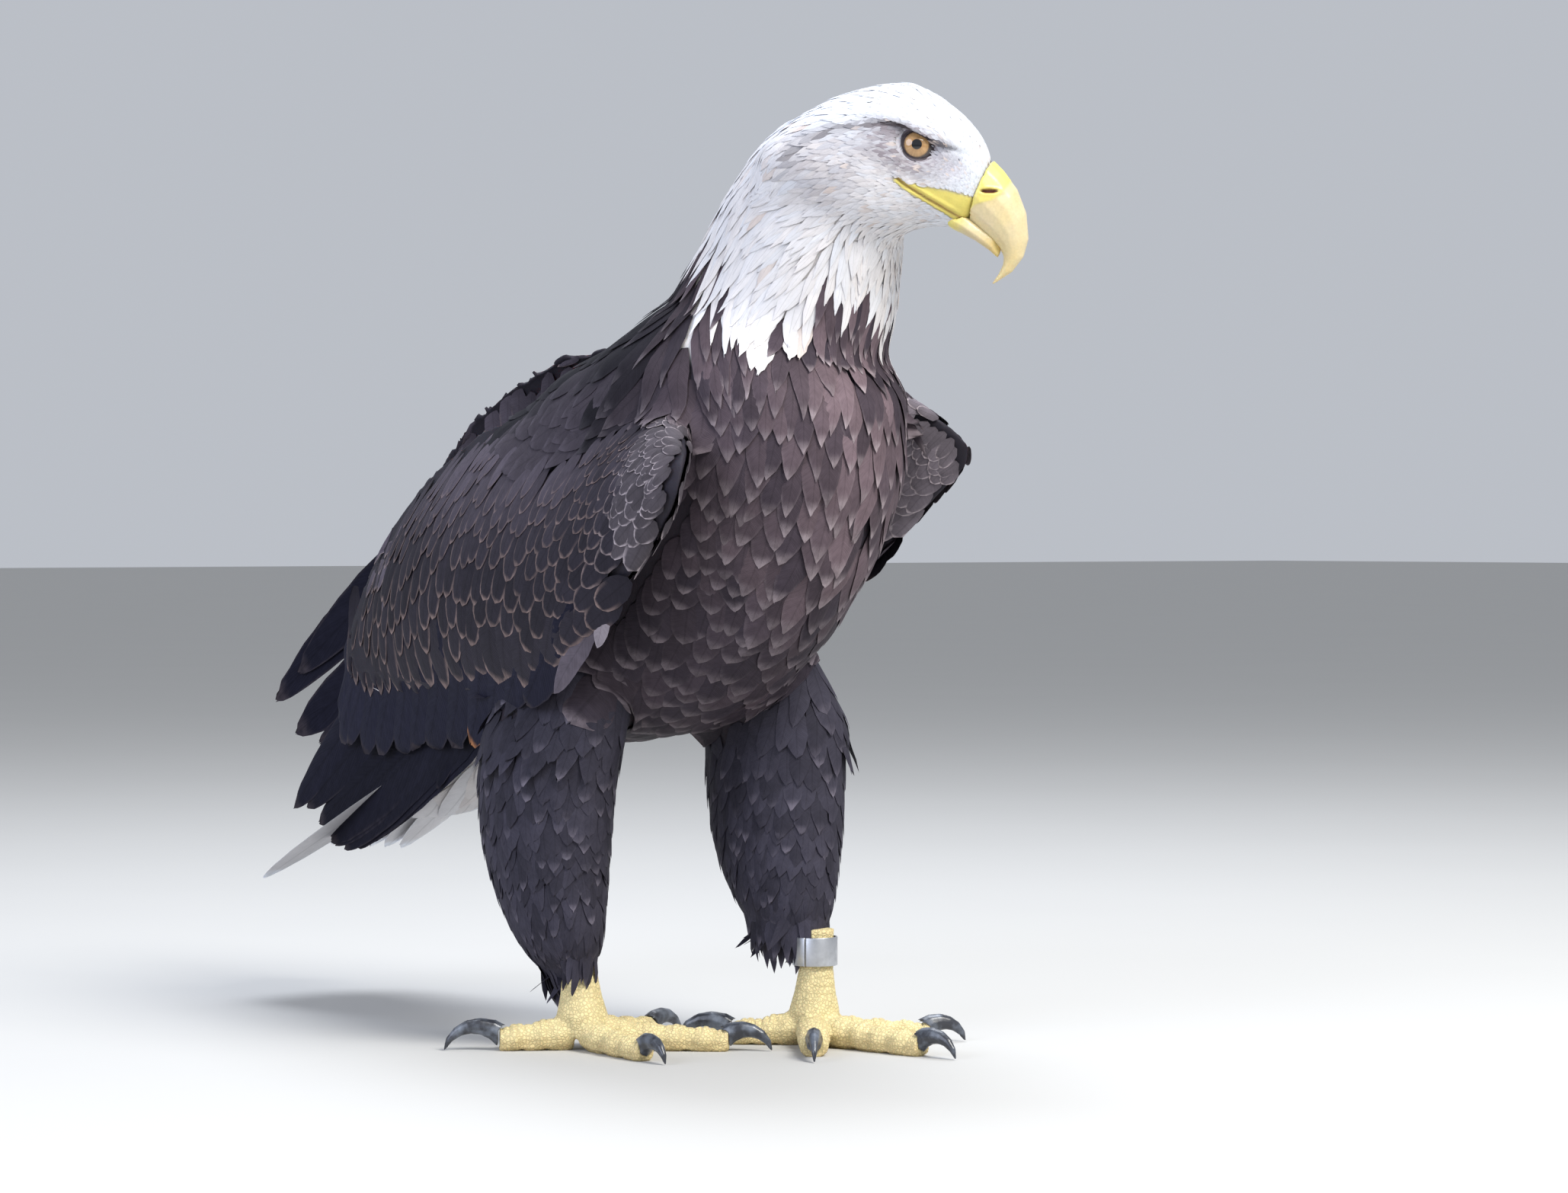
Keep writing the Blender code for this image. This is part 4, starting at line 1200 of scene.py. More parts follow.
def skin_colours(look, points, zone):
    """Skin under the coat, with the coat's own markings and the painted shadow under the brow."""
    spot = bird_mm(points)
    y, z = spot[:, 1:].T
    white = smooth(-4, 4, z - white_height(neck_turn(spot)) + 8)
    arms = np.isin(zone, ARM_ZONES)
    white = white * (z > HACKLES_FROM) * ~arms
    dark = np.tile(look.breast_dark[:], (len(points), 1)) * 0.8
    dark[arms] = look.covert[:]
    pale = np.array(look.warm_white[:]) * 0.82
    base = mix_rows(dark, pale, white)
    tail = smooth(150, 170, y) * (z < 240)
    base = mix_rows(base, pale, tail * (zone == TAIL_ZONE))
    local = folded(head_mm(points))
    is_head = smooth(60, 30, local[:, 1]) * (local[:, 1] > -60) * (local[:, 2] > -55)
    face = np.linalg.norm((local - (26, -10, -2)) * (1, 0.8, 1), axis=1)
    base = mix_rows(base, look.lore[:], is_head * (1 - smooth(14, 26, face)))
    over, inside = gape_height(local)
    inside = inside * is_head
    lip = smooth(-3.4, -2.4, over) * smooth(1.6, -1.6, over - lip_height(local[:, 1]))
    base = mix_rows(base, look.cere[:], lip * inside)
    # the gape's crease: partly the mouth's own flesh colour, partly painted shade in the groove
    base = mix_rows(base, look.mouth[:], 0.75 * hill(over, 0.7) * inside)
    # painted shadow under the edge of the brow, on the bare skin
    base = mix_rows(base, look.brow_dark[:], painted_brow_shadow(local) * is_head)
    away = local - np.array(EYE_AT)
    lid = (1 - smooth(0.2, 1.2, lid_reach(away))) * (away @ EYE_AXIS > 0) * is_head
    return mix_rows(base, look.lid[:], lid)


# ------------------------------------------------------------------ the coat
def grow(name, data, guide, finish, slot, columns, rows, thickness, camber, ragged,
         patch=(0.003, 0.003), replaced=()):
    """One coat piece: vanes grown on its roots and laid over the guide."""
    tree = bpy.data.node_groups.get("vanes over a coat") or vane_tree()
    roots = made_mesh(name + "_roots", data["root"])
    for key, values in data.items():
        store(roots, key, values)
    obj = show(name, roots)
    grown = obj.modifiers.new("vanes", "NODES")
    grown.node_group = tree
    values = {
        "Guide": guide, "Columns": columns, "Rows": rows, "Thickness": thickness * MM,
        "Camber": camber, "Ragged": ragged, "Seed": len(name), "Patch width": patch[0],
        "Patch length": patch[1], "Finish": finish,
    }
    for item in tree.interface.items_tree:
        if item.in_out == "INPUT" and item.name in values:
            grown[item.identifier] = values[item.name]
    mesh = applied(obj)
    if not len(mesh.polygons):
        raise RuntimeError("no vanes were grown on " + name)
    for map_name in ("Feather", "OFBake"):
        if map_name not in mesh.uv_layers:
            raise RuntimeError(name + " has no map " + map_name)
    finish_piece(obj, finish, slot, *replaced)


def picked(data, mask):
    return {key: values[mask] for key, values in data.items()}


def relaxed(places, frame_at, rounds):
    """Even out roots: each is pushed off its near ones, measured in feathers."""
    places, ways, sides, along, across = frame_at(places)
    for _ in range(rounds):
        count = len(places)
        tree = KDTree(count)
        for i, place in enumerate(places):
            tree.insert(place, i)
        tree.balance()
        near = np.array([[hit[1] for hit in tree.find_n(place, 11)[1:]] for place in places])
        gap = places[near] - places[:, None, :]
        run = (gap * ways[:, None, :]).sum(axis=2) / along[:, None]
        off = (gap * sides[:, None, :]).sum(axis=2) / across[:, None]
        size = np.sqrt(run ** 2 + off ** 2) + 1e-6
        push = np.maximum(1.36 - size, 0) * 0.32 / size
        step = (ways * ((run * push).sum(axis=1) * along)[:, None]
                + sides * ((off * push).sum(axis=1) * across)[:, None])
        places, ways, sides, along, across = frame_at(places - step)
    return places


def coat_roots(skin, look, rng):
    """Roots all over the body's skin, each with its size, lie and colours."""
    mesh = skin.data
    mesh.calc_loop_triangles()
    tri = read(mesh.loop_triangles, "vertices", 3, np.int32)
    loops = read(mesh.loop_triangles, "loops", 3, np.int32)
    uv = read(mesh.uv_layers["OFBake"].data, "uv", 2)
    points = points_of(mesh)
    normals = normals_of(mesh)
    edges = edges_of(mesh)
    zone = zones_of(points)
    fields = plume_fields(points, zone)
    lie = lie_of(points, averaged(normals, edges, 4), zone, edges)
    # all that a place of the skin carries, in one row
    facts = np.column_stack((normals, fields, lie))
    corners = points[tri]
    area = 0.5 * np.linalg.norm(
        np.cross(corners[:, 1] - corners[:, 0], corners[:, 2] - corners[:, 0]), axis=1)
    size = fields[tri].mean(axis=1)
    need = area / (size[:, 0] * size[:, 1] * MM * MM)
    total = int(need.sum() * look.tries)
    face = rng.choice(len(tri), total, p=need / need.sum())
    a = rng.random((total, 2))
    a = np.where(a.sum(axis=1, keepdims=True) > 1, 1 - a, a)
    share = np.column_stack((1 - a.sum(axis=1), a))
    places = (corners[face] * share[:, :, None]).sum(axis=1)
    surface = BVHTree.FromPolygons([Vector(p) for p in points], tri.tolist())

    def facts_at(places):
        """Brings places onto the skin and reads what it carries there."""
        face = np.empty(len(places), np.int32)
        put = np.empty((len(places), 3))
        for i, place in enumerate(places):
            hit = surface.find_nearest(Vector(place))
            put[i] = hit[0]
            face[i] = hit[2]
        a, b, c = (corners[face, k] for k in range(3))
        whole = np.cross(b - a, c - a)
        whole /= np.maximum((whole ** 2).sum(axis=1, keepdims=True), 1e-18)
        v = (np.cross(put - a, c - a) * whole).sum(axis=1)
        w = (np.cross(b - a, put - a) * whole).sum(axis=1)
        share = np.clip(np.column_stack((1 - v - w, v, w)), 0, 1)
        row = (facts[tri[face]] * share[:, :, None]).sum(axis=1)
        row[:, :3] = unit(row[:, :3])
        row[:, 7:] = unit(row[:, 7:] - row[:, :3] * (row[:, 7:] * row[:, :3]).sum(axis=1)[:, None])
        return put, row, face, share

    def frame_at(places):
        put, row, _, _ = facts_at(places)
        side = np.cross(row[:, 7:], row[:, :3])
        return (put, row[:, 7:], side, row[:, 3] * look.gap_along * MM,
                row[:, 4] * look.gap_across * MM)

    keep = growable(places, facts[tri[face], :3].mean(axis=1), zone[tri[face, 0]])
    places = places[keep]
    put, ways, sides, along, across = frame_at(places)
    kept = scatter(put, ways, sides, along, across)
    places = relaxed(put[kept], frame_at, look.rounds)
    put, row, face, share = facts_at(places)
    keep = growable(put, row[:, :3], zone[tri[face, 0]])
    # where the skin turns away under a feather it is shorter, or not there
    ends = put + row[:, 7:] * row[:, 3:4] * MM
    lift = np.linalg.norm(facts_at(ends)[0] - ends, axis=1) / (row[:, 3] * MM)
    thigh = np.isin(zone[tri[face, 0]], THIGH_ZONES)
    arms = np.isin(zone[tri[face, 0]], ARM_ZONES)
    least = np.where(arms, 0.7, 0.5)
    low = smooth(112, 84, bird_mm(put)[:, 2])
    row[:, 3] *= np.where(thigh, 1.0 + 0.5 * low, 1.0 - (1.0 - least) * smooth(0.25, 0.6, lift))
    keep &= (lift < 0.62) | thigh | arms
    hang = np.where(thigh, smooth(0.12, 0.5, lift), 0.0)
    put, row, face, share, hang = (part[keep] for part in (put, row, face, share, hang))
    skin_place = (uv[loops[face]] * share[:, :, None]).sum(axis=1)
    # and on the legs it leaves the skin and hangs as a fringe
    way = unit(row[:, 7:] + np.array((0, 0, -1.0)) * (0.9 * hang)[:, None])
    return build_roots(put, way, row[:, :3], row[:, 3:7], zone[tri[face, 0]], hang,
                       skin_place, look, rng)


def build_roots(root, lie, normal, fields, zone, hang, skin_place, look, rng):
    """All that shapes and colours a vane, for roots of known size and lie."""
    count = len(root)
    turn = np.radians(rng.normal(0, 4.5, count))
    side = np.cross(lie, normal)
    lie = lie * np.cos(turn)[:, None] + side * np.sin(turn)[:, None]
    side = np.cross(lie, normal)
    length = fields[:, 0] * rng.uniform(0.86, 1.14, count) * MM
    wide = fields[:, 1] * 0.5 * rng.uniform(0.88, 1.12, count) * MM
    high = fields[:, 3] * rng.uniform(0.8, 1.12, count) * MM
    tips = bird_mm(root + lie * length[:, None])
    spot = bird_mm(root)
    tail = zone == TAIL_ZONE
    white = whiteness(tips, ~tail & (spot[:, 2] > HACKLES_FROM + 2), rng)
    hind = tail | ((spot[:, 1] > 166) & (spot[:, 2] < 222))
    under = (spot[:, 1] > 128) & (spot[:, 2] < 150)
    light = white | hind & ((tips[:, 1] > 205) | under)
    vane, edge = brown_colours(look, root, rng)
    pale, pale_edge = head_colours(look, root, rng)
    vane[light] = pale[light]
    edge[light] = pale_edge[light]
    thigh = np.isin(zone, THIGH_ZONES)
    n = thigh.sum()
    vane[thigh] = np.array(look.thigh[:]) * rng.uniform(0.75, 1.3, n)[:, None]
    edge[thigh] = mix_rows(vane[thigh], look.thigh_tip[:],
                           np.clip(rng.uniform(-1.0, 0.8, n), 0.05, 1))
    # the outer feathers of the back lie on the wings and share their tone
    aside = smooth(56, 80, np.abs(spot[:, 0])) * (spot[:, 2] > 300) * (spot[:, 1] > -50) * ~light
    top = np.array(look.covert_top[:])
    vane = mix_rows(vane, top * 0.6, aside * 0.8)
    edge = mix_rows(edge, top * 0.9, aside * 0.8)
    arms = np.isin(zone, ARM_ZONES) & ~light
    n = arms.sum()
    rear = smooth(-110, -60, wing_frame(root)[arms, 1]) * 0.8
    vane[arms] = mix_rows(look.covert[:], top, rear)
    vane[arms] = mix_rows(vane[arms], look.wrist_edge[:], 0.1 * (1 - rear / 0.8))
    vane[arms] *= rng.uniform(0.8, 1.25, n)[:, None]
    edge[arms] = mix_rows(look.wrist_edge[:], look.covert_edge[:], rear)
    edge[arms] *= rng.uniform(0.75, 1.1, n)[:, None]
    # painted light: the front of the far wing lies in shade, so its colours are made 2.2 and 1.3
    # times lighter
    far = arms & (spot[:, 0] > MIDDLE) & (spot[:, 1] < 0)
    vane[far] *= 2.2
    edge[far] *= 1.3
    # painted highlight on the wrist's leading edge: the feathers near it are made white
    for x, y, z, reach in WRIST_HIGHLIGHT:
        near = arms & (np.linalg.norm(tips - (x, y, z), axis=1) < reach)
        vane[near] = edge[near] = look.white[:]
    return {
        "root": root, "reach": lie * length[:, None], "side": side, "up": normal,
        "wide": wide, "low": np.full(count, 0.35 * MM) + rng.uniform(0, 0.25, count) * MM,
        "high": high, "point": np.clip(fields[:, 2] + rng.normal(0, 0.06, count), 0, 1),
        "bend": rng.normal(0, 0.05, count) * length, "free": hang * 2.2,
        "skin_place": np.column_stack((skin_place, np.zeros(count))),
        "vane_colour": colours(vane), "edge_colour": colours(edge),
        "zone": zone.astype(float), "light": light.astype(float),
    }


def growable(places, normals, zone):
    """Where feathers grow: not on the bill, eyes, gape, nor under the wings."""
    local = head_mm(places)
    away = folded(local) - np.array(EYE_AT)
    off = lid_reach(away)
    brow = (brow_height(local) > -1.0) & (np.abs(local[:, 1]) < 24)
    keep = ~((off < 2.2) & (away @ EYE_AXIS > 0) & ~brow)
    over, inside = gape_height(local)
    keep &= ~((over > -2.6) & (over < lip_height(local[:, 1])) & (inside > 0.3))
    keep &= ~((local[:, 1] < -38) & (local[:, 1] > -80) & (local[:, 0] < 25))
    x, y, z = bird_mm(places).T
    arms = np.isin(zone, ARM_ZONES)
    outer = np.where(x < 0, -normals[:, 0], normals[:, 0])
    under = (normals[:, 2] < 0.25) & (np.abs(x) > 20)
    lead = wing_frame(places)[:, 1]
    front = (lead < -66) & ((outer < 0.9) | (lead < -100)) & (normals[:, 1] < 0.6)
    inner = (outer < 0.3) & (z > 300)
    keep &= ~(arms & under & ~front & ~inner)
    keep &= ~(arms & (lead > 60) & (outer > 0.45))
    keep &= ~((zone == TAIL_ZONE) & (y > TAIL_STUB - 6))
    wings, _ = solids_tree(("wing_right_arm", "wing_left_arm"))
    maybe = (zone == TRUNK_ZONE) & (np.abs(x) > 30) & keep
    for i in np.nonzero(maybe)[0]:
        start = Vector(places[i] + normals[i] * 0.004)
        keep[i] = wings.ray_cast(start, Vector(normals[i]), 0.030)[0] is None
    return keep


# ----------------------------------------------------------------- the wings
def left_wing_place():
    """Carries the right wing's shape over to the left side of the bird."""
    wrist = Vector(WRIST) * MM
    lift = Matrix.Rotation(LEFT_WING_LIFT, 4, "X")
    swing = Matrix.Rotation(LEFT_WING_SWING, 4, "Z")
    pivot = Matrix.Translation(wrist) @ swing @ lift @ Matrix.Translation(-wrist)
    shift = Matrix.Translation(Vector(LEFT_WING_SHIFT) * MM)
    mirror = Matrix.Diagonal((-1, 1, 1, 1))
    to_world = Matrix.Translation(BIRD_SHIFT)
    return to_world @ shift @ mirror @ pivot @ to_world.inverted()


def around(grid):
    """The sum of each cell's four neighbours, the edge's own repeated."""
    wide = np.pad(grid, 1, mode="edge")
    return wide[2:, 1:-1] + wide[:-2, 1:-1] + wide[1:-1, 2:] + wide[1:-1, :-2]


def wing_sheet():
    """The outer face of the folded wing as heights over its side view, mm."""
    tree, _ = solids_tree(["wing_right_arm", *("wing_right_" + blade for blade in BLADES)])
    ys = np.arange(SHEET_START[0], 421, SHEET_STEP)
    zs = np.arange(SHEET_START[1], 421, SHEET_STEP)
    out = np.full((len(ys), len(zs)), np.nan)
    for i, y in enumerate(ys):
        for j, z in enumerate(zs):
            hit = tree.ray_cast(at(-300, y, z), Vector((1, 0, 0)))
            if hit[0] is not None:
                out[i, j] = bird_mm([hit[0]])[0, 0]
    known = ~np.isnan(out)
    sure = np.pad(known, 1)
    sure = known & sure[2:, 1:-1] & sure[:-2, 1:-1] & sure[1:-1, 2:] & sure[1:-1, :-2]
    filled = np.where(known, out, np.nanmean(out))
    for _ in range(260):
        filled = np.where(known, filled, around(filled) / 4)
    for _ in range(6):
        filled = (around(filled) + 4 * filled) / 8
    filled = np.where(known, np.minimum(filled, out + 0.5), filled)
    return ys, zs, filled, sure


def sheet_object(sheet, name, inset, place=None):
    """The sheet as a mesh that the wing's feathers are laid over."""
    ys, zs, xs, _ = sheet
    verts = [at(xs[i, j] + inset, y, z) for i, y in enumerate(ys) for j, z in enumerate(zs)]
    if place:
        verts = [place @ v for v in verts]
    rows = len(zs)
    faces = []
    for i in range(len(ys) - 1):
        for j in range(rows - 1):
            quad = (i * rows + j, i * rows + j + 1, (i + 1) * rows + j + 1, (i + 1) * rows + j)
            faces.append(quad[::-1] if place else quad)
    mesh = made_mesh(name, verts, faces)
    mesh.update()
    if normals_of(mesh)[:, 0].mean() * (1 if place else -1) < 0:
        mesh.flip_normals()
    store(mesh, "outward", normals_of(mesh))
    return show(name, mesh)


def on_sheet(sheet, spots):
    """Places of the wing's side view put on its outer face, in the world."""
    ys, zs, xs, _ = sheet
    fy = np.clip((spots[:, 0] - ys[0]) / SHEET_STEP, 0, len(ys) - 1.001)
    fz = np.clip((spots[:, 1] - zs[0]) / SHEET_STEP, 0, len(zs) - 1.001)
    i = fy.astype(int)
    j = fz.astype(int)
    u = fy - i
    v = fz - j
    x = ((1 - u) * (1 - v) * xs[i, j] + u * (1 - v) * xs[i + 1, j]
         + (1 - u) * v * xs[i, j + 1] + u * v * xs[i + 1, j + 1])
    return bird_world(np.column_stack((x, spots)))


def inside_outline(y, z):
    """True for places of the side view that lie within the folded wing."""
    inside = np.zeros(len(y), bool)
    last = WING_OUTLINE[-1]
    for here in WING_OUTLINE:
        crosses = (here[1] > z) != (last[1] > z)
        level = (last[0] - here[0]) * (z - here[1]) / (last[1] - here[1] + 1e-9) + here[0]
        inside ^= crosses & (y < level)
        last = here
    return inside


def wing_rows(sheet, rows, rng, point, heights, colour, edge, spread=0.12):
    """Feathers given by their tips: y, z, length, width, way of the tip."""
    rows = np.array(rows, float)
    way = rows[:, 4]
    go = np.column_stack((way, -np.sqrt(1 - way ** 2)))
    tip = rows[:, :2]
    vane = np.array(colour[:]) * rng.uniform(1 - spread, 1 + spread, len(rows))[:, None]
    edge = np.array(edge[:]) * rng.uniform(0.85, 1.15, len(rows))[:, None]
    return wing_data(sheet, tip - go * rows[:, 2:3], tip, rows[:, 3], rng, point, heights,
                     vane, edge)


def laid_frame(root, end, normal):
    """Reach, side and up of feathers between two ends, near a given normal."""
    reach = end - root
    side = unit(np.cross(unit(reach), np.tile(normal, (len(root), 1))))
    return {"root": root, "reach": reach, "side": side,
            "up": unit(np.cross(side, unit(reach)))}


def wing_data(sheet, start, tip, width, rng, point, heights, vane, edge):
    """Root data for feathers that lie on the wing, from y and z of both ends."""
    count = len(start)
    laid = laid_frame(on_sheet(sheet, start), on_sheet(sheet, tip), (-1.0, 0, 0))
    place = np.column_stack(((start - SHEET_START) / SHEET_SPAN, np.zeros(count)))
    low, high = heights
    return {
        **laid, "wide": width * 0.5 * MM, "low": np.full(count, low * MM),
        "high": np.full(count, high * MM) * rng.uniform(0.9, 1.1, count),
        "point": np.clip(point + rng.normal(0, 0.05, count), 0, 1),
        "bend": rng.normal(0, 0.02, count) * np.linalg.norm(laid["reach"], axis=1),
        "free": np.zeros(count), "skin_place": place,
        "vane_colour": colours(vane), "edge_colour": colours(np.clip(edge, 0, 0.9)),
    }


def small_coverts(sheet, look, rng):
    """The scaled drape of small and middle coverts over the folded wing."""
    table = np.array(WING_PLUMES, float)
    spots = np.column_stack((table[:, :2], np.zeros(len(table)))) * MM

    def frame_at(places):
        fields = blend_from(places, spots, table[:, 2:])
        go = unit(fields[:, 2:4])
        flat = np.zeros(len(go))
        ways = np.column_stack((go, flat))
        sides = np.column_stack((-go[:, 1], go[:, 0], flat))
        return (places, ways, sides, fields[:, 0] * look.row_gap * MM,
                fields[:, 1] * look.side_gap * MM)

    total = 14000
    places = np.column_stack((rng.uniform(-150, 290, total), rng.uniform(200, 392, total),
                              np.zeros(total)))
    inside = inside_outline(places[:, 0], places[:, 1])
    put, *measures = frame_at(places[inside] * MM)
    put = relaxed(put[scatter(put, *measures)], frame_at, 14)
    fields = blend_from(put, spots, table[:, 2:])
    start = put[:, :2] / MM
    go = unit(fields[:, 2:4])
    count = len(start)
    turn = rng.normal(0, 0.03, count)
    go = go + np.column_stack((-go[:, 1], go[:, 0])) * turn[:, None]
    tip = start + go * (fields[:, 0] * rng.uniform(0.95, 1.05, count))[:, None]
    # the last row of coverts has its own list, so these stop short of it
    cell = tuple(np.round((start - SHEET_START) / SHEET_STEP).astype(int).T)
    slope = np.hypot(*np.gradient(sheet[2], SHEET_STEP))
    stays = (sheet[3][cell] & (slope[cell] < 1.5) & (start[:, 0] > -122)
             & inside_outline(start[:, 0], start[:, 1])
             & inside_outline(tip[:, 0], tip[:, 1] - 12))
    start, tip, fields = start[stays], tip[stays], fields[stays]
    count = len(start)
    length, width = fields[:, 0], fields[:, 1]
    high = smooth(300, 380, start[:, 1]) * smooth(-90, -20, start[:, 0])
    front = smooth(-60, -120, start[:, 0]) * smooth(300, 350, start[:, 1])
    vane = mix_rows(look.covert[:], look.covert_top[:], high * 0.8)
    vane = mix_rows(vane, look.covert_top[:], front * 0.45)
    vane *= rng.uniform(0.8, 1.2, count)[:, None]
    edge = mix_rows(look.covert_edge[:], look.covert_top[:], high * 0.6)
    edge = mix_rows(edge, look.wrist_edge[:], smooth(-70, -125, start[:, 0]) * 0.7)
    edge *= rng.uniform(0.8, 1.2, count)[:, None]
    data = wing_data(sheet, start, tip, width, rng, 0.16, (0.3, 3.0), vane, edge)
    data["point"] = np.clip(np.interp(length, (15, 45), (0.3, 0.05))
                            + rng.normal(0, 0.03, count), 0, 1)
    data["high"] = np.interp(length, (14, 60), (1.8, 3.4)) * MM * rng.uniform(0.92, 1.08, count)
    return data


def stacked(*parts):
    return {key: np.concatenate([part[key] for part in parts]) for key in parts[0]}


def carried(data, place):
    """The same feathers on the other wing."""
    turn = np.array(place.to_3x3())
    out = dict(data)
    out["root"] = np.array([place @ Vector(p) for p in data["root"]])
    for key in ("reach", "side", "up"):
        out[key] = data[key] @ turn.T
    for key in ("side", "bend"):
        out[key] = -out[key]
    return out


def blades(table, look, rng):
    """The primaries, given by both ends, free of the guide."""
    table = np.array(table, float)
    count = len(table)
    data = laid_frame(bird_world(table[:, 3:6]), bird_world(table[:, :3]), (-1.0, 0.0, 0.12))
    droop = table[:, 7] * MM
    order = np.arange(count)
    data["reach"] = data["reach"] + data["side"] * droop[:, None]
    # the primaries share the secondaries' flight colour, painted darker here as painted shade
    flight = np.array(look.flight[:]) * rng.uniform(0.55, 0.8, count)[:, None]
    return {
        **data, "wide": table[:, 6] * 0.5 * MM,
        "low": (order * 0.6 - 6) * MM, "high": (order * 0.6 - 1) * MM,
        "point": np.full(count, 0.16), "bend": -droop, "free": np.full(count, 9.0),
        "skin_place": np.zeros((count, 3)), "vane_colour": colours(flight),
        "edge_colour": colours(np.tile(look.flight_edge[:], (count, 1))),
    }


def spread_map(data, patch):
    """Big feathers get a row of strips of their own instead of small patches."""
    count = len(data["root"])
    columns = int(1 / patch[0])
    index = np.arange(count)
    data["skin_place"] = np.column_stack((
        (index % columns + 0.5) * patch[0], (index // columns + 0.5) * patch[1] * 1.02,
        np.zeros(count)))
    return data


# ---------------------------------------------------------- horn, eyes, band
def tail_vanes(look, rng):
    """Twelve tail feathers in a low fan, the middle pair on top."""
    turn = np.array(Matrix.Rotation(math.radians(-8), 3, "Y"))
    share = (np.arange(12) - 5.5) / 5.5
    order = 5.5 - np.abs(np.arange(12) - 5.5)
    root = np.column_stack((share * 20, np.zeros((12, 2)))) @ turn.T + (0, 166.0, 196.0)
    tip = np.column_stack((share * np.where(share < 0, 60, 48), np.zeros((12, 2)))) @ turn.T
    tip[:, 1] += 404 - 18 * np.abs(share) ** 2.2
    tip[:, 2] += 73.0 + 1.1 * order + 14
    return spread_map({
        **laid_frame(bird_world(root), bird_world(tip), turn @ np.array((0, 0.45, 1.0))),
        "wide": np.full(12, 19.0 * MM), "low": order * MM, "high": order * 0.7 * MM,
        "bend": np.zeros(12), "point": np.full(12, 0.12), "free": np.full(12, 60.0),
        "vane_colour": colours(
            np.array(look.tail_white[:]) * rng.uniform(0.94, 1.03, 12)[:, None]),
        "edge_colour": colours(np.tile(look.white[:], (12, 1))),
    }, TAIL_PATCH)


def horn_piece(name, node_name, step, rounds, work=None):
    """A CAD solid of horn, made even and smooth, then worked."""
    obj = remeshed(name, joined([node_name]), step, rounds)
    if work:
        work(obj)
    return obj


def work_upper_bill(obj):
    """Nostril slit, the step where the cere ends and the cutting edge."""
    points = points_of(obj.data)
    local = head_mm(points)
    sign = np.sign(local[:, 0])
    side = np.abs(local[:, 0])
    start, end = (np.array(place) for place in NOSTRIL)
    go = unit(end - start)
    away = local[:, 1:] - (start + end) / 2
    slit = np.hypot(away @ go / 4.8, away @ np.array((-go[1], go[0])) / 1.25)
    hole = (1 - smooth(0.6, 1.2, slit)) * smooth(3.0, 5.0, side)
    rim = hill(slit - 1.55, 0.4) * smooth(3.0, 5.0, side)
    border = cere_border(local[:, 2])
    cere = smooth(-1.2, 1.2, local[:, 1] - border)
    step = 0.35 * (cere - 0.5)
    side = side - 2.6 * hole + 0.25 * rim + step * smooth(1, 5, side)
    side = side * (1 - 0.12 * smooth(-39.5, -35, local[:, 1]))
    local[:, 0] = sign * side
    local[:, 2] += step * smooth(-4, 4, local[:, 2])
    set_points(obj.data, head_world(local))
    store(obj.data, "cere", cere)
    # the nostril's dark colour is partly its inner skin and partly painted shade of the hole
    store(obj.data, "nostril", np.clip(hole * 1.4, 0, 1))
    store(obj.data, "tip", smooth(-26, -56, local[:, 2]))
    # the top ridge, where the horn gets a painted highlight
    store(obj.data, "ridge", smooth(6.0, 1.0, side))


def cere_border(z):
    """How far forward the soft yellow cere reaches at each height."""
    return np.interp(z, (-40, -30, -24, -18, -13, -8, 0, 6),
                     (-33, -34, -36, -40, -47.5, -51, -53, -54))


def work_lower_bill(obj):
    """Raise the mandible's upper face, so that it closes inside the upper half."""
    local = head_mm(points_of(obj.data))
    middle = np.interp(local[:, 1], (-60, -54, -45, -36, -27),
                       (-40.2, -36.6, -34, -31.5, -30))
    local[:, 2] += 2.2 * smooth(0.5, 2.5, local[:, 2] - middle) * smooth(-22, -30, local[:, 1])
    local[:, 0] *= np.interp(local[:, 1], (-50, -40, -33, -26), (1.0, 1.08, 0.9, 0.7))
    set_points(obj.data, head_world(local))
    store(obj.data, "cere", smooth(-40, -30, local[:, 1]))
    store(obj.data, "nostril", np.zeros(len(local)))
    store(obj.data, "tip", smooth(-44, -62, local[:, 1]))
    store(obj.data, "ridge", np.zeros(len(local)))


def horn_material(look):
    """Bill: living horn, waxy and faintly layered, under a soft yellow cere."""
    made, add, dress = new_material(
        "Layered bill horn", Roughness=0.36, IOR=1.55, Subsurface_Weight=0.12,
        Subsurface_Scale=0.004, Coat_Weight=0.15, Coat_Roughness=0.3)
    spot = add(PLACE).outputs["Object"]
    cere, slit, tip, ridge = (add(ATTRIBUTE, attribute_name=name).outputs["Fac"]
                              for name in ("cere", "nostril", "tip", "ridge"))
    cloud = add(NOISE, Vector=spot, Scale=90.0, Detail=5.0)
    fine = add(NOISE, Vector=spot, Scale=700.0, Detail=3.0)
    colour = add(MIX, {0: cloud, 6: (*look.horn, 1), 7: (*look.horn_warm, 1)}, data_type="RGBA")
    # a painted highlight along the top ridge of the bill
    line = add(TIMES, ridge, 0.45)
    for share, over in ((tip, look.horn_tip), (line, look.horn_pale), (cere, look.cere),
                        (slit, look.nostril)):
        colour = add(MIX, {0: share, 6: colour, 7: (*over, 1)}, data_type="RGBA")
    tone = add(RANGE, fine, 0.3, 0.7, 0.93, 1.05)
    colour = add(VECTOR_TIMES, colour, tone)
    stretch = add("ShaderNodeMapping", spot, Rotation=(0.35, 0, 0.73),
                  Scale=(900.0, 120.0, 500.0))
    growth = add(NOISE, Vector=stretch, Scale=1.0)
    bump = add(BUMP, Height=growth, Strength=0.12, Distance=0.0004)
    dress({"Base Color": colour, "Normal": bump})
    return made


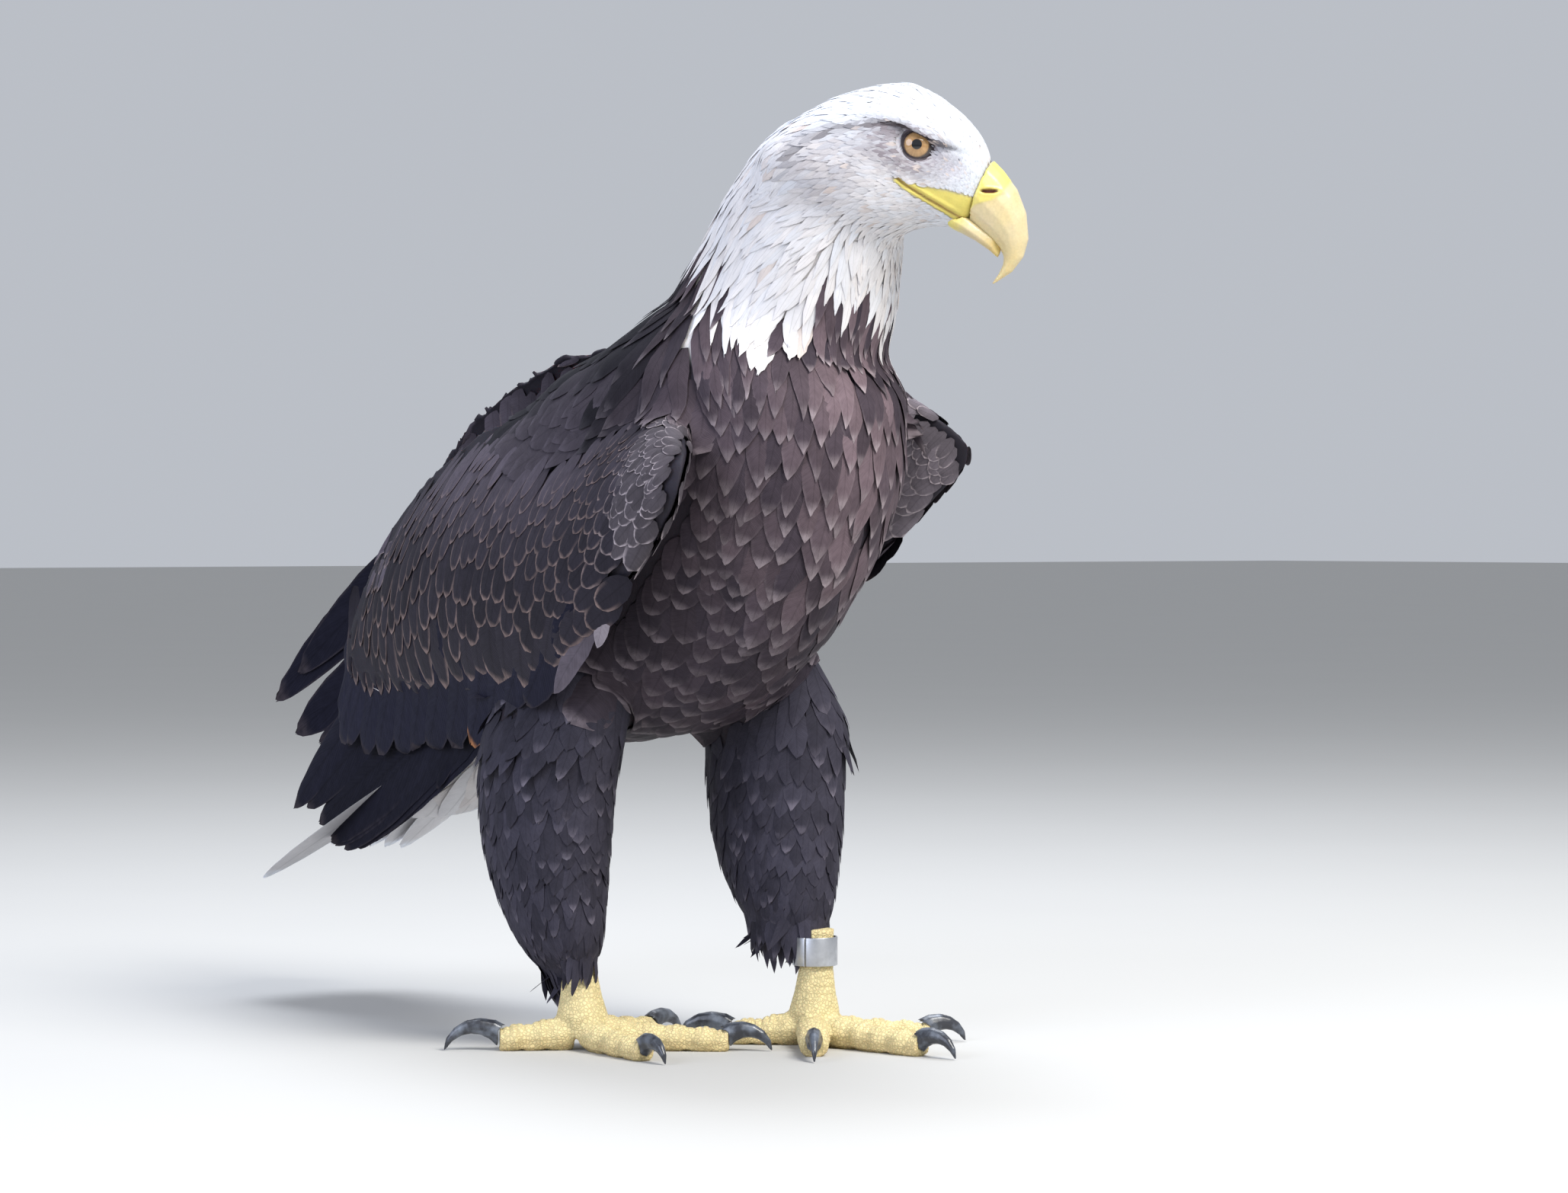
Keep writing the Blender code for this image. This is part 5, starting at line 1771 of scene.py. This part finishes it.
def claw_material(look):
    """Claw: black horn, worn to a satin grey where it is handled."""
    made, add, dress = new_material(
        "Black claw horn", Roughness=0.34, IOR=1.55, Coat_Weight=0.25, Coat_Roughness=0.25)
    spot = add(PLACE).outputs["Object"]
    cloud = add(NOISE, Vector=spot, Scale=140.0, Detail=6.0)
    worn = add(RANGE, cloud, 0.42, 0.72, 0.0, 1.0)
    colour = add(MIX, {0: worn, 6: (*look.claw, 1), 7: (*look.claw_worn, 1)}, data_type="RGBA")
    fine = add(NOISE, Vector=spot, Scale=900.0, Detail=2.0)
    bump = add(BUMP, Height=fine, Strength=0.15, Distance=0.0003)
    dress({"Base Color": colour, "Normal": bump})
    return made


def skin_material():
    """Bare skin: leathery and matt, beaded with scales on the feet."""
    made, add, dress = new_material(
        "Scaled leather skin", Roughness=0.66, Specular_IOR_Level=0.14, Subsurface_Weight=0.08,
        Subsurface_Scale=0.003)
    spot = add(PLACE).outputs["Object"]
    tinted = add(ATTRIBUTE, attribute_name="skin_colour")
    scaly = add(ATTRIBUTE, attribute_name="scaly").outputs["Fac"]
    # beads about two millimetres across
    beads = add("ShaderNodeTexVoronoi", Vector=spot, Scale=480.0, feature="DISTANCE_TO_EDGE")
    seam = add(RANGE, beads, 0.0, 0.22, 0.0, 1.0)
    cloud = add(NOISE, Vector=spot, Scale=110.0, Detail=5.0)
    dirt = add(RANGE, cloud, 0.3, 0.7, 0.86, 1.06)
    gap = add(MINUS, add(RANGE, seam, 0.0, 1.0, 0.70, 1.0), 1.0)
    gap = add(TIMES_PLUS, gap, scaly, 1.0)
    tone = add(TIMES, dirt, gap)
    colour = add(VECTOR_TIMES, tinted, tone)
    raised = add(TIMES, seam, scaly)
    fine = add(NOISE, Vector=spot, Scale=900.0, Detail=3.0)
    height = add(TIMES_PLUS, fine, 0.35, raised)
    bump = add(BUMP, Height=height, Strength=0.5, Distance=0.0006)
    dress({"Base Color": colour, "Normal": bump})
    return made


def eye_material(look):
    """Eye: a wet clear cornea over a pale straw iris with fine spokes."""
    made, add, dress = new_material(
        "Wet straw eye", Roughness=0.08, IOR=1.376, Coat_Weight=1.0, Coat_Roughness=0.02)
    off = add(ATTRIBUTE, attribute_name="off_axis").outputs["Fac"]
    turn = add(ATTRIBUTE, attribute_name="turn").outputs["Vector"]
    spokes = add(SCALED, turn, Scale=9.0)
    fibres = add(NOISE, Vector=spokes, Scale=1.6, Detail=4.0)
    colour = add(MIX, {0: fibres, 6: (*look.iris_dark, 1), 7: (*look.iris, 1)},
                 data_type="RGBA")
    # millimetres off the axis: dark towards the pupil, the rim, then the pupil
    for near, far, start, end, over in (
            (3.2, 4.6, 0.5, 0.0, look.iris_dark), (6.3, 7.3, 0.0, 1.0, look.eye_rim),
            (2.75, 3.0, 1.0, 0.0, look.pupil)):
        share = add(RANGE, off, near, far, start, end)
        colour = add(MIX, {0: share, 6: colour, 7: (*over, 1)}, data_type="RGBA")
    dress({"Base Color": colour})
    return made


def band_material(look):
    """Leg band: rolled aluminium, brushed round and scuffed by the perch."""
    made, add, dress = new_material("Brushed aluminium", Metallic=1.0, Roughness=0.38)
    spot = add(PLACE).outputs["Object"]
    drawn = add("ShaderNodeMapping", spot, Scale=(60.0, 60.0, 2600.0))
    grain = add(NOISE, Vector=drawn, Scale=1.0, Detail=4.0)
    scuff = add(NOISE, Vector=spot, Scale=260.0, Detail=6.0)
    colour = add(MIX, {0: scuff, 6: (*look.band_dull, 1), 7: (*look.band, 1)},
                 data_type="RGBA")
    rough = add(RANGE, scuff, 0.3, 0.7, 0.5, 0.3)
    bump = add(BUMP, Height=grain, Strength=0.12, Distance=0.0002)
    dress({"Base Color": colour, "Roughness": rough, "Normal": bump})
    return made


def eyeball(side):
    """An eyeball with its cornea bulging a little, turned out and forward."""
    axis = Vector(EYE_AXIS)
    up = (Vector((0, 0, 1)) - axis * axis.z).normalized()
    back = axis.cross(up)
    rows = 44
    steps = 64
    verts = []
    off_axis = []
    turns = []
    for i in range(rows + 1):
        polar = math.pi * (i / rows) ** 1.25
        for k in range(steps):
            turn = 2 * math.pi * k / steps
            off = EYE_RADIUS * math.sin(polar)
            out = EYE_RADIUS * math.cos(polar)
            out += 0.55 * max(0.0, 1 - (off / 7.4) ** 2) if polar < 1.2 else 0.0
            ring = up * math.sin(turn) + back * math.cos(turn)
            place = Vector(EYE_AT) + axis * out + ring * off
            place.x *= 1 if side == "left" else -1
            verts.append(head_world([place])[0])
            off_axis.append(off if polar < math.pi / 2 else 2 * EYE_RADIUS - off)
            turns.append((math.cos(turn), math.sin(turn), 0.12 * off / EYE_RADIUS))
    faces = []
    for i in range(rows):
        for k in range(steps):
            m = (k + 1) % steps
            faces.append((i * steps + k, i * steps + m, (i + 1) * steps + m, (i + 1) * steps + k))
    mesh = made_mesh("eye_" + side + "_ball", verts, faces)
    store(mesh, "off_axis", off_axis)
    store(mesh, "turn", turns)
    with edited(mesh) as bm:
        bmesh.ops.remove_doubles(bm, verts=bm.verts, dist=1e-6)
        bmesh.ops.recalc_face_normals(bm, faces=bm.faces)
    mesh.shade_smooth()
    return show("eye_" + side + "_ball", mesh)


def band_ring():
    """The leg band: a rolled strip with eased edges, its ends butted."""
    low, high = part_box("leg_band")
    low = Vector(low)
    high = Vector(high)
    centre = (low + high) / 2
    outer = (high.x - low.x) / 2
    wall = 1.0 * MM
    tall = (high.z - low.z) / 2
    ease = 0.35 * MM
    profile = []
    for corner_r, corner_z, sign_r, sign_z in (
            (outer, tall, 1, 1), (outer, -tall, 1, -1),
            (outer - wall, -tall, -1, -1), (outer - wall, tall, -1, 1)):
        order = (0, 1, 2, 3) if sign_r * sign_z > 0 else (3, 2, 1, 0)
        for k in order:
            turn = math.pi / 2 * k / 3
            profile.append((corner_r - sign_r * ease * (1 - math.sin(turn)),
                            corner_z - sign_z * ease * (1 - math.cos(turn))))
    steps = 96
    gap = math.radians(2.2)
    bm = bmesh.new()
    rows = []
    for k in range(steps + 1):
        turn = math.radians(205) + gap / 2 + (2 * math.pi - gap) * k / steps
        rows.append([bm.verts.new((centre.x + r * math.cos(turn), centre.y + r * math.sin(turn),
                                   centre.z + z)) for r, z in profile])
    count = len(profile)
    for a, b in zip(rows, rows[1:]):
        for i in range(count):
            j = (i + 1) % count
            bm.faces.new((a[i], a[j], b[j], b[i]))
    bm.faces.new(rows[0])
    bm.faces.new(rows[-1][::-1])
    bmesh.ops.recalc_face_normals(bm, faces=bm.faces)
    mesh = bpy.data.meshes.new("leg_band_strip")
    bm.to_mesh(mesh)
    bm.free()
    mesh.shade_smooth()
    return show("leg_band_strip", mesh)


# --------------------------------------------------------- what a user changes
COLOURS = {
    "white": ("#D8DDE6", "Crown, nape and hackles"),
    "warm_white": ("#DCD7D6", "Cheek and neck"),
    "neck_tinge": ("#CDBCB2", "Stained hackles"),
    "tail_white": ("#C6C4C6", "Tail feathers"),
    "dusty": ("#8A8288", "Grey round the eye"),
    # painted shadow behind the eye and under the brow
    "brow_dark": ("#4A4144", "Line behind the eye"),
    "lore": ("#B4B1BA", "Thinly feathered skin"),
    "lid": ("#3A3336", "Rim of the eyelids"),
    # partly the mouth's flesh colour, partly painted shade in the gape's crease
    "mouth": ("#8A5A46", "Crease of the gape"),
    "breast_dark": ("#363038", "Body feathers"),
    "breast_warm": ("#695A60", "Faded breast"),
    "breast_tip": ("#95898D", "Tips on the breast"),
    "belly_edge": ("#6D646A", "Edges on the belly"),
    "mantle": ("#1A191F", "Back and shoulders"),
    "mantle_edge": ("#353339", "Edges on the back"),
    "thigh": ("#36343E", "Trousers"),
    "thigh_tip": ("#746E7A", "Tips on the trousers"),
    "covert": ("#2A272F", "Wing coverts"),
    "covert_top": ("#59525C", "Coverts on top"),
    "covert_edge": ("#7F6D69", "Margins of the coverts"),
    "wrist_edge": ("#BBAFB4", "Margins at the wrist"),
    "pale_covert": ("#877F85", "A bleached feather"),
    "grey_covert": ("#5B545D", "A faded feather"),
    "rufous": ("#A06E4A", "A worn rusty tip"),
    "flight": ("#252532", "Flight feathers"),
    "flight_edge": ("#3B363B", "Edges of the flight feathers"),
    "cere": ("#D8C96E", "Soft skin on the bill"),
    "horn": ("#CFBB84", "Bill"),
    "horn_warm": ("#CFC09E", "Paler horn of the bill"),
    # painted highlight along the top ridge of the bill
    "horn_pale": ("#D6CAA6", "Ridge of the bill"),
    "horn_tip": ("#D0B66C", "Hook of the bill"),
    # partly the nostril's inner skin, partly painted shade of the hole
    "nostril": ("#6B3326", "Inside the nostril"),
    "iris": ("#C7A06C", "Iris"),
    "iris_dark": ("#86623E", "Spokes of the iris"),
    "eye_rim": ("#2A2021", "Round the iris"),
    "pupil": ("#080A10", "Pupil"),
    "foot": ("#EADAA6", "Feet and shanks"),
    # a darker foot colour, laid on more towards the floor
    "foot_fold": ("#CDB078", "Folds of the feet"),
    "claw": ("#292B32", "Claws"),
    "claw_worn": ("#6C737E", "Worn places of the claws"),
    "band": ("#D2D4D8", "Leg band"),
    "band_dull": ("#A7A9AE", "Scuffs on the band"),
    "floor": ("#C2C1BE", "Floor"),
}


class EagleLook(bpy.types.PropertyGroup):
    """Sizes and colours of the eagle's covering."""

    skin_step: bpy.props.FloatProperty(
        name="Skin step", description="Spacing of the body skin's points",
        default=0.0032, min=0.002, max=0.01, subtype="DISTANCE", unit="LENGTH")
    foot_step: bpy.props.FloatProperty(
        name="Foot step", description="Spacing of the foot skin's points",
        default=0.00105, min=0.0008, max=0.004, subtype="DISTANCE", unit="LENGTH")
    gap_along: bpy.props.FloatProperty(
        name="Gap along", description="Least spacing along the lie, in feather lengths",
        default=0.26, min=0.1, max=1.0)
    gap_across: bpy.props.FloatProperty(
        name="Gap across", description="Least spacing across the lie, in feather widths",
        default=0.52, min=0.1, max=1.0)
    row_gap: bpy.props.FloatProperty(
        name="Row gap", description="Spacing of wing coverts along them, in their lengths",
        default=0.30, min=0.1, max=1.0)
    side_gap: bpy.props.FloatProperty(
        name="Side gap", description="Spacing of wing coverts across them, in their widths",
        default=0.60, min=0.1, max=1.0)
    rounds: bpy.props.IntProperty(
        name="Rounds", description="How often the roots push each other apart", default=9, min=0)
    tries: bpy.props.FloatProperty(
        name="Tries", description="Trial roots for each feather's share of skin",
        default=26.0, min=2.0, max=80.0)
    seed: bpy.props.IntProperty(
        name="Seed", description="Changes which way each feather varies", default=7)


for _key, (_code, _note) in COLOURS.items():
    EagleLook.__annotations__[_key] = bpy.props.FloatVectorProperty(
        name=_key.replace("_", " ").capitalize(), description=_note, default=srgb(_code),
        subtype="COLOR", size=3, min=0.0, max=1.0)



MADE = {}
# The stage: level ways to the camera and to its right, and where each light is.
TO_CAMERA = Vector((-0.616, -0.788, 0))
TO_RIGHT = Vector((0.788, -0.616, 0))
LIGHTS = (                    # name, towards the camera, right, up, size, power, colour
    ("key", 1.6, 1.5, 2.0, 1.4, 104, "#FFFDF8"), ("fill", 1.8, -1.7, 0.9, 1.8, 36, "#DFE8FF"),
    ("top", -0.9, 0, 2.3, 1.6, 50, "#EEF4FF"),
)
CAMERA_AT = (-1527.0, -2043.0, 305.0)
CAMERA_TARGET = (42.9, -33.5, 266.4)


def rng_for(look, step):
    return np.random.default_rng(look.seed * 100 + step)


class EAGLE_OT_skin(bpy.types.Operator):
    """Make the one skin under the coat, with the face, lids and feet"""

    bl_idname = "eagle.skin"
    bl_label = "Skin"

    def execute(self, context):
        look = context.scene.eagle_look
        body = body_shell(look)
        points = points_of(body.data)
        colour = skin_colours(look, points, zones_of(points))
        store(body.data, "skin_colour", colours(colour))
        store(body.data, "scaly", np.zeros(len(points)))
        guide = show("coat_guide", body.data.copy())
        normal = averaged(normals_of(body.data), edges_of(body.data), 3)
        store(guide.data, "outward", unit(normal))
        MADE["guide"] = guide
        # on the wings the skin stays a little under the coat's own base
        arms = np.isin(zones_of(points), ARM_ZONES)
        sunk = averaged(arms * 1.4, edges_of(body.data), 3)
        set_points(body.data, points - unit(normal) * sunk[:, None] * MM)
        feet = feet_shell(look)
        low = bird_mm(points_of(feet.data))[:, 2]
        # the feet are a little darker all over, and darker still below about 12 mm towards the
        # floor
        toward_floor = 0.25 + 0.5 * smooth(12, 2, low)
        base = mix_rows(look.foot[:], look.foot_fold[:], toward_floor * 0.6)
        store(feet.data, "skin_colour", colours(base))
        store(feet.data, "scaly", np.ones(len(low)))
        select(body, feet, *(lid_ring(side, look) for side in SIDES))
        bpy.ops.object.join()
        body.data.uv_layers.remove(body.data.uv_layers["OFBake"])
        body.data.materials.clear()
        finish_piece(body, skin_material(), "foot_skin", *BODY_NODES[:-1], *FOOT_NODES)
        return {"FINISHED"}


class EAGLE_OT_eyes(bpy.types.Operator):
    """Make both eyes"""

    bl_idname = "eagle.eyes"
    bl_label = "Eyes"

    def execute(self, context):
        finish = eye_material(context.scene.eagle_look)
        for side in SIDES:
            finish_piece(eyeball(side), finish, "eye", "eye_" + side)
        return {"FINISHED"}


class EAGLE_OT_bill(bpy.types.Operator):
    """Make the two halves of the bill"""

    bl_idname = "eagle.bill"
    bl_label = "Bill"

    def execute(self, context):
        finish = horn_material(context.scene.eagle_look)
        for half, rounds, work in (("bill_upper", 6, work_upper_bill),
                                   ("bill_lower", 4, work_lower_bill)):
            horn = horn_piece(half + "_horn", half, 0.7, rounds, work)
            finish_piece(horn, finish, "bill_horn", half)
        return {"FINISHED"}


class EAGLE_OT_claws(bpy.types.Operator):
    """Make the eight claws"""

    bl_idname = "eagle.claws"
    bl_label = "Claws"

    def execute(self, context):
        finish = claw_material(context.scene.eagle_look)
        for side in SIDES:
            for digit in DIGITS:
                name = "foot_%s_%s_claw" % (side, digit)
                finish_piece(horn_piece(name + "_horn", name, 0.75, 3), finish, "claw_horn", name)
        return {"FINISHED"}


class EAGLE_OT_band(bpy.types.Operator):
    """Make the plain leg band"""

    bl_idname = "eagle.band"
    bl_label = "Leg band"

    def execute(self, context):
        finish_piece(band_ring(), band_material(context.scene.eagle_look), "band_metal", "leg_band")
        return {"FINISHED"}


class EAGLE_OT_coat(bpy.types.Operator):
    """Grow the feathers of the head, neck, body and thighs"""

    bl_idname = "eagle.coat"
    bl_label = "Body feathers"

    def execute(self, context):
        look = context.scene.eagle_look
        data = coat_roots(MADE["guide"], look, rng_for(look, 1))
        snow = feather_material("Soft white vane", 0.10, 0.5, 0.05, 0.7, 0.2, 0.16, 0.12)
        brown = feather_material("Dull brown vane", 0.30, 0.25, 0.24, 0.65, 0.08, 0.2)
        scaled = feather_material("Scaled brown covert", 0.36, 0.9, 0.09, 0.6, 0.08, 0.2)
        MADE["covert_finish"] = scaled
        zone = data.pop("zone")
        light = data.pop("light") > 0.5
        _, y, z = bird_mm(data["root"]).T
        length = np.linalg.norm(data["reach"], axis=1) / MM
        face = light & (length < 8.5)
        crown = light & ~face & (length < 19)
        hind = light & (y > 100)
        neck = light & ~face & ~crown & ~hind
        thigh_r, thigh_l = (~light & (zone == thigh) for thigh in THIGH_ZONES)
        arms = ~light & np.isin(zone, ARM_ZONES)
        rest = ~light & ~thigh_r & ~thigh_l & ~arms
        back = rest & ((y > 40) & (z > 230)
                       | (y > -60) & (z > 370))
        front = rest & ~back & (z > 275)
        belly = rest & ~back & ~front
        pieces = (
            ("coat_face", face, snow, "white_plumage", 3, 5, 0.08, 0.02, 0.12),
            ("coat_crown", crown, snow, "white_plumage", 3, 7, 0.1, 0.03, 0.16),
            ("coat_neck", neck, snow, "white_plumage", 5, 9, 0.15, 0.09, 0.24),
            ("coat_rump", hind, snow, "white_plumage", 5, 8, 0.2, 0.05, 0.1),
            ("coat_breast", front, brown, "brown_plumage", 5, 9, 0.2, 0.05, 0.1),
            ("coat_belly", belly, brown, "brown_plumage", 5, 8, 0.2, 0.05, 0.1),
            ("coat_back", back, brown, "brown_plumage", 5, 8, 0.2, 0.05, 0.08),
            ("coat_wrists", arms, scaled, "covert_plumage", 5, 7, 0.2, 0.05, 0.06),
            ("coat_thigh_right", thigh_r, brown, "brown_plumage", 5, 7, 0.2, 0.05, 0.2),
            ("coat_thigh_left", thigh_l, brown, "brown_plumage", 5, 7, 0.2, 0.05, 0.2),
        )
        for name, mask, *look_and_form in pieces:
            grow(name, picked(data, mask), MADE["guide"], *look_and_form)
        return {"FINISHED"}


class EAGLE_OT_wings(bpy.types.Operator):
    """Lay the coverts, secondaries and primaries of both folded wings"""

    bl_idname = "eagle.wings"
    bl_label = "Wings"

    def execute(self, context):
        look = context.scene.eagle_look
        rng = rng_for(look, 2)
        sheet = wing_sheet()
        place = left_wing_place()
        dark = feather_material("Stiff flight vane", 0.14, 0.6, 0.04, 0.55, 0.02, 0.25)
        small = small_coverts(sheet, look, rng)
        great = wing_rows(sheet, GREATER_COVERTS, rng, 0.05, (0.3, 2.6), look.covert,
                          look.covert_edge)
        second = wing_rows(sheet, SECONDARIES, rng, 0.1, (-1.2, 0.4), look.flight,
                           look.flight_edge)
        # each secondary lies a little over the one behind it
        spread = np.arange(len(SECONDARIES))[::-1] * 0.12 * MM
        for key in ("low", "high"):
            second[key] = second[key] + spread
        single = wing_rows(sheet, (PALE_COVERT, GREY_COVERT), rng, 0.35, (1.0, 3.4),
                           look.covert, look.covert_edge)
        single["vane_colour"] = colours(np.array((look.pale_covert[:], look.grey_covert[:])))
        single["edge_colour"] = single["vane_colour"] * 1.2
        second["edge_colour"][RUSTY_SECONDARY, :3] = look.rufous[:]
        coverts = {"right": stacked(small, great, single), "left": stacked(small, great)}
        hands = {"right": blades(PRIMARIES, look, rng), "left": blades(LEFT_PRIMARIES, look, rng)}
        for side in SIDES:
            turned = None if side == "right" else place
            guide = sheet_object(sheet, "wing_guide_" + side, 3.4, turned)
            arm, flight, hand = (carried(data, place) if turned else dict(data)
                                 for data in (coverts[side], second, hands[side]))
            grow("coat_wing_" + side, arm, guide, MADE["covert_finish"], "covert_plumage",
                 5, 9, 0.2, 0.05, 0.05)
            for name, data, form, stands_for in (
                    ("secondaries_", flight, (7, 18, 0.5, 0.07, 0.05), BLADES[:1]),
                    ("primaries_", hand, (7, 22, 0.6, 0.09, 0.04), BLADES[1:])):
                grow(name + side, spread_map(data, FLIGHT_PATCH), guide, dark,
                     "flight_feather", *form, patch=FLIGHT_PATCH,
                     replaced=["wing_%s_%s" % (side, blade) for blade in stands_for])
            bpy.data.objects.remove(guide)
        return {"FINISHED"}


class EAGLE_OT_tail(bpy.types.Operator):
    """Fan the twelve tail feathers"""

    bl_idname = "eagle.tail"
    bl_label = "Tail"

    def execute(self, context):
        look = context.scene.eagle_look
        finish = feather_material("Stiff white vane", 0.12, 0.6, 0.05, 0.6, 0.2, 0.2, 0.12)
        grow("tail_fan", tail_vanes(look, rng_for(look, 3)), MADE["guide"], finish,
             "white_plumage", 7, 22, 0.6, 0.05, 0.04, patch=TAIL_PATCH, replaced=("tail",))
        bpy.data.objects.remove(MADE.pop("guide"))
        return {"FINISHED"}


def area_light(name, place, target, size, power, colour):
    lamp = bpy.data.lights.new(name, "AREA")
    lamp.shape = "DISK"
    lamp.size = size
    lamp.energy = power
    lamp.color = srgb(colour)
    obj = bpy.data.objects.new(name, lamp)
    obj.location = place
    obj.rotation_euler = (target - place).to_track_quat("-Z", "Y").to_euler()
    bpy.context.scene.collection.objects.link(obj)
    return obj


class EAGLE_OT_stage(bpy.types.Operator):
    """Set the pale floor, the soft studio light and the camera"""

    bl_idname = "eagle.stage"
    bl_label = "Stage"

    def execute(self, context):
        look = context.scene.eagle_look
        bm = bmesh.new()
        bmesh.ops.create_grid(bm, x_segments=1, y_segments=1, size=30.0)
        mesh = bpy.data.meshes.new("studio_floor")
        bm.to_mesh(mesh)
        bm.free()
        made, add, dress = new_material("Matt painted floor", Roughness=0.9)
        cloud = add(NOISE, Vector=add(PLACE).outputs["Object"], Scale=3.0, Detail=3.0)
        worn = (*(c * 0.97 for c in look.floor), 1)
        dress({"Base Color": add(MIX, {0: cloud, 6: (*look.floor, 1), 7: worn},
                                 data_type="RGBA")})
        mesh.materials.append(made)
        show("studio_floor", mesh)
        world = bpy.data.worlds.new("soft studio")
        world.use_nodes = True
        sky = world.node_tree.nodes["Background"]
        sky.inputs["Color"].default_value = (*srgb("#E4E9F2"), 1)
        sky.inputs["Strength"].default_value = 0.64
        context.scene.world = world
        low, high = CAD_BOX
        centre = (Vector(low) + Vector(high)) / 2
        for name, near, right, up, size, power, colour in LIGHTS:
            area_light(name, centre + TO_CAMERA * near + TO_RIGHT * right + Vector((0, 0, up)),
                       centre, size, power, colour)
        camera = bpy.data.cameras.new("camera")
        camera.lens = 99.1
        camera.sensor_width = 36.0
        camera.clip_start = 0.05
        camera.clip_end = 80.0
        obj = bpy.data.objects.new("camera", camera)
        obj.location = at(*CAMERA_AT)
        aim = at(*CAMERA_TARGET) - obj.location
        obj.rotation_euler = aim.to_track_quat("-Z", "Y").to_euler()
        context.scene.collection.objects.link(obj)
        context.scene.camera = obj
        context.scene.view_settings.view_transform = "Standard"
        return {"FINISHED"}


OPERATORS = (
    EAGLE_OT_stage, EAGLE_OT_skin, EAGLE_OT_eyes, EAGLE_OT_bill, EAGLE_OT_claws, EAGLE_OT_band,
    EAGLE_OT_coat, EAGLE_OT_wings, EAGLE_OT_tail,
)


class EAGLE_PT_panel(bpy.types.Panel):
    """The eagle's pieces and its look"""

    bl_label = "Bald eagle"
    bl_space_type = "VIEW_3D"
    bl_region_type = "UI"
    bl_category = "Eagle"

    def draw(self, context):
        column = self.layout.column()
        for operator in OPERATORS:
            column.operator(operator.bl_idname)
        for name in EagleLook.__annotations__:
            column.prop(context.scene.eagle_look, name)


CLASSES = (EagleLook, *OPERATORS, EAGLE_PT_panel)


def register():
    for cls in CLASSES:
        bpy.utils.register_class(cls)
    bpy.types.Scene.eagle_look = bpy.props.PointerProperty(type=EagleLook)


def unregister():
    del bpy.types.Scene.eagle_look
    for cls in reversed(CLASSES):
        bpy.utils.unregister_class(cls)


def main():
    register()
    for operator in OPERATORS:
        part = operator.bl_idname.split(".")[1]
        result = getattr(bpy.ops.eagle, part)()
        if result != {"FINISHED"}:
            raise RuntimeError(operator.bl_label + " was not finished")


if __name__ == "__main__":
    main()
